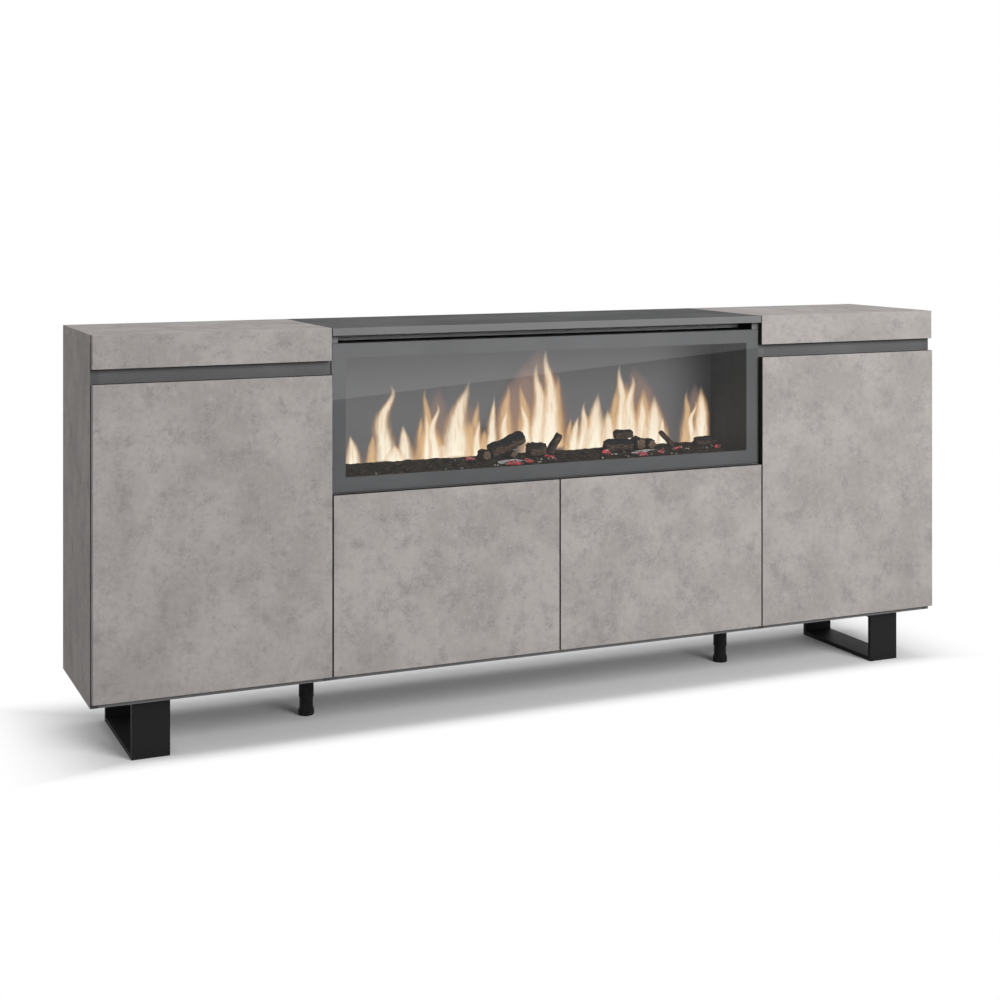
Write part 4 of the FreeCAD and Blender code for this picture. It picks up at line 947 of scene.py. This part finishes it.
# Fire glass: one polished toughened pane over the border and the fire, held at its rim, with rounded
# corners and a ground bevel round its face. A thin coat makes it mirror the room a little.
pane = bpy.data.materials.new("toughened_glass")
pane.use_nodes = True
pane.node_tree.nodes.clear()
start = Tone(pane.node_tree)
smear = start.node("ShaderNodeTexCoord", out="Object").noise(90 * MM, 4, 0.6)
outer_face = 1 - start.node("ShaderNodeNewGeometry", out="Backfacing")
mirrored = (start.node("ShaderNodeFresnel", None, {"IOR": 2.0}) + (smear - 0.5) * 0.01) * outer_face
clear = start.node("ShaderNodeBsdfTransparent")
gloss = start.node("ShaderNodeBsdfGlossy", None, {"Roughness": 0.0})
glass_look = start.node("ShaderNodeMixShader", None, {0: mirrored, 1: clear, 2: gloss})
glass_out = pane.node_tree.nodes.new("ShaderNodeOutputMaterial")
glass_look.into(glass_out, "Surface")

PANE_SEAT = 0.3 * MM
PANE_BEVEL = 1.2 * MM
PANE_CORNER = 2.5 * MM
PANE_CORNER_STEPS = 6
glass_low, glass_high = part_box("fire_glass")
pane_made = bmesh.new()
pane_rings = []
pane_steps = [(glass_high.y - PANE_SEAT, 0), (glass_low.y + PANE_BEVEL, 0), (glass_low.y, PANE_BEVEL)]
for depth, inset in pane_steps:
    ring = []
    for quarter, (side_x, side_z) in enumerate(((1, 1), (-1, 1), (-1, -1), (1, -1))):
        corner_x = (glass_high.x if side_x > 0 else glass_low.x) - side_x * PANE_CORNER
        corner_z = (glass_high.z if side_z > 0 else glass_low.z) - side_z * PANE_CORNER
        for step in range(PANE_CORNER_STEPS + 1):
            angle = (quarter + step / PANE_CORNER_STEPS) * math.pi / 2
            reach = PANE_CORNER - inset
            spot = (corner_x + math.cos(angle) * reach, depth, corner_z + math.sin(angle) * reach)
            ring.append(pane_made.verts.new(spot))
    pane_rings.append(ring)
bridge(pane_made, pane_rings)
pane_made.faces.new(pane_rings[0])
pane_made.faces.new(pane_rings[-1])
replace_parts(piece("bevelled_pane", pane_made, pane, "carcass"), "fire_glass")

# Studio: a plain white floor and sky, a large soft lamp in front on the right, weaker ones overhead and
# on the left, and a grey card that only shows as a reflection in the glass. Past the object's foot the
# floor is plain white.
SEEN_BY = ("Is Camera Ray", "Is Glossy Ray", "Is Transmission Ray")


def seen_in(tone):
    """1 where the floor or the sky is seen, straight or in metal and glass, and 0 where it only lights."""
    camera_ray, glossy_ray, clear_ray = (tone.node("ShaderNodeLightPath", out=kind) for kind in SEEN_BY)
    return (camera_ray + glossy_ray + clear_ray).rise(0, 1)


FLOOR_HALF = 30
FLOOR_LIT = (0.32, 0.32, 0.32, 1)
FLOOR_SEEN = (0.97, 0.97, 0.97, 1)
FLOOR_FIXED = {"Roughness": 1, "Specular IOR Level": 0}
BESIDE_FADE = (-0.12, 0.18)
BEFORE_FADE = (0.05, -0.05)
BEHIND_FADE = (-0.02, 0.2)
floor_mesh = bpy.data.meshes.new("studio_floor")
floor_corners = [(-FLOOR_HALF, -FLOOR_HALF, 0), (FLOOR_HALF, -FLOOR_HALF, 0)]
floor_corners += [(FLOOR_HALF, FLOOR_HALF, 0), (-FLOOR_HALF, FLOOR_HALF, 0)]
floor_mesh.from_pydata(floor_corners, [], [(0, 1, 2, 3)])
floor_finish, floor_shader, floor_place = new_finish("studio_floor", FLOOR_FIXED)
seen = seen_in(floor_place)
seen.between(FLOOR_LIT, FLOOR_SEEN).into(floor_shader, "Base Color")
beside = (abs(floor_place.part("X")) - cad_high.x).rise(*BESIDE_FADE)
before = (floor_place.part("Y") - cad_low.y).rise(*BEFORE_FADE)
behind = (floor_place.part("Y") - cad_high.y).rise(*BEHIND_FADE)
away = floor_place.sum("MAXIMUM", beside, floor_place.sum("MAXIMUM", before, behind))
white_floor = floor_place.node("ShaderNodeEmission", None, {"Strength": 1})
lit_floor = Tone(floor_finish.node_tree, floor_shader.outputs[0])
floor_look = floor_place.node("ShaderNodeMixShader", None, {0: seen * away, 1: lit_floor, 2: white_floor})
floor_look.into(floor_finish.node_tree.nodes["Material Output"], "Surface")
floor_mesh.materials.append(floor_finish)
floor = bpy.data.objects.new("studio_floor", floor_mesh)
bpy.context.scene.collection.objects.link(floor)

SKY_LIT = (0.31, 0.31, 0.315, 1)
SKY_SEEN = (1, 1, 1, 1)
world = bpy.data.worlds.new("studio_sky")
world.use_nodes = True
bpy.context.scene.world = world
backdrop = world.node_tree.nodes["Background"]
seen_in(Tone(world.node_tree)).between(SKY_LIT, SKY_SEEN).into(backdrop, "Color")


def soft_lamp(name, spot, aim, size, power):
    """A round lamp at a spot, turned to its aim, this wide in metres and of this power in watts."""
    lamp = bpy.data.lights.new(name, "AREA")
    lamp.shape = "DISK"
    lamp.size = size
    lamp.energy = power
    thing = bpy.data.objects.new(name, lamp)
    thing.location = spot
    thing.rotation_euler = (Vector(aim) - Vector(spot)).to_track_quat("-Z", "Y").to_euler()
    thing.visible_camera = False
    thing.visible_glossy = False
    bpy.context.scene.collection.objects.link(thing)


soft_lamp("front_lamp", (1.3, -4.1, 2.3), (0.0, 0, 0.4), 2.6, 185)
soft_lamp("left_lamp", (-4.2, 0.5, 1.8), (-1, 0, 0.4), 2.0, 17)
soft_lamp("top_lamp", (0.4, 0.4, 4.2), (0, 0, 0), 3.2, 44)

CARD_Y = -3.0
CARD_LEFT = 0.36
CARD_RIGHT = 2.6
CARD_CUT_LEFT = 0.367
CARD_CUT_RIGHT = 0.53
CARD_TOP = 0.75
CARD_FADE = (1.7, 2.05)
card_corners = []
for left_z, right_z in ((0, 0), (CARD_CUT_LEFT, CARD_CUT_RIGHT), (CARD_TOP, CARD_TOP)):
    card_corners += [(CARD_LEFT, CARD_Y, left_z), (CARD_RIGHT, CARD_Y, right_z)]
card_mesh = bpy.data.meshes.new("reflection_card")
card_mesh.from_pydata(card_corners, [], [(0, 1, 3, 2), (2, 3, 5, 4)])


def card_finish(name, left, right):
    """A grey that shines by itself, with one level on the card's left and one on its right."""
    finish, shader, place = new_finish(name, {"Base Color": (0, 0, 0, 1), "Specular IOR Level": 0})
    shader.inputs["Emission Strength"].default_value = 1
    fade = place.part("X").rise(*CARD_FADE)
    fade.between((left, left, left, 1), (right, right, right, 1)).into(shader, "Emission Color")
    return finish


card_mesh.materials.append(card_finish("card_lower", 0.31, 0.34))
card_mesh.materials.append(card_finish("card_upper", 0.85, 0.72))
card_mesh.polygons[1].material_index = 1
card = bpy.data.objects.new("reflection_card", card_mesh)
bpy.context.scene.collection.objects.link(card)
card.visible_camera = False
card.visible_diffuse = False
card.visible_transmission = False
card.visible_shadow = False

# Camera: level, at the photograph's place in front on the left, with a long lens that is shifted down
# and aside, so that the uprights stay upright.
view = bpy.data.cameras.new("camera")
view.lens = 61.08
view.sensor_width = 36
view.shift_x = -0.05
view.shift_y = -0.286
camera = bpy.data.objects.new("camera", view)
camera.location = (-1.5771, -3.5198, 1.0768)
camera.rotation_euler = (math.radians(90), 0, math.radians(-24.9))
bpy.context.scene.collection.objects.link(camera)
bpy.context.scene.camera = camera
bpy.context.scene.view_settings.view_transform = "Standard"
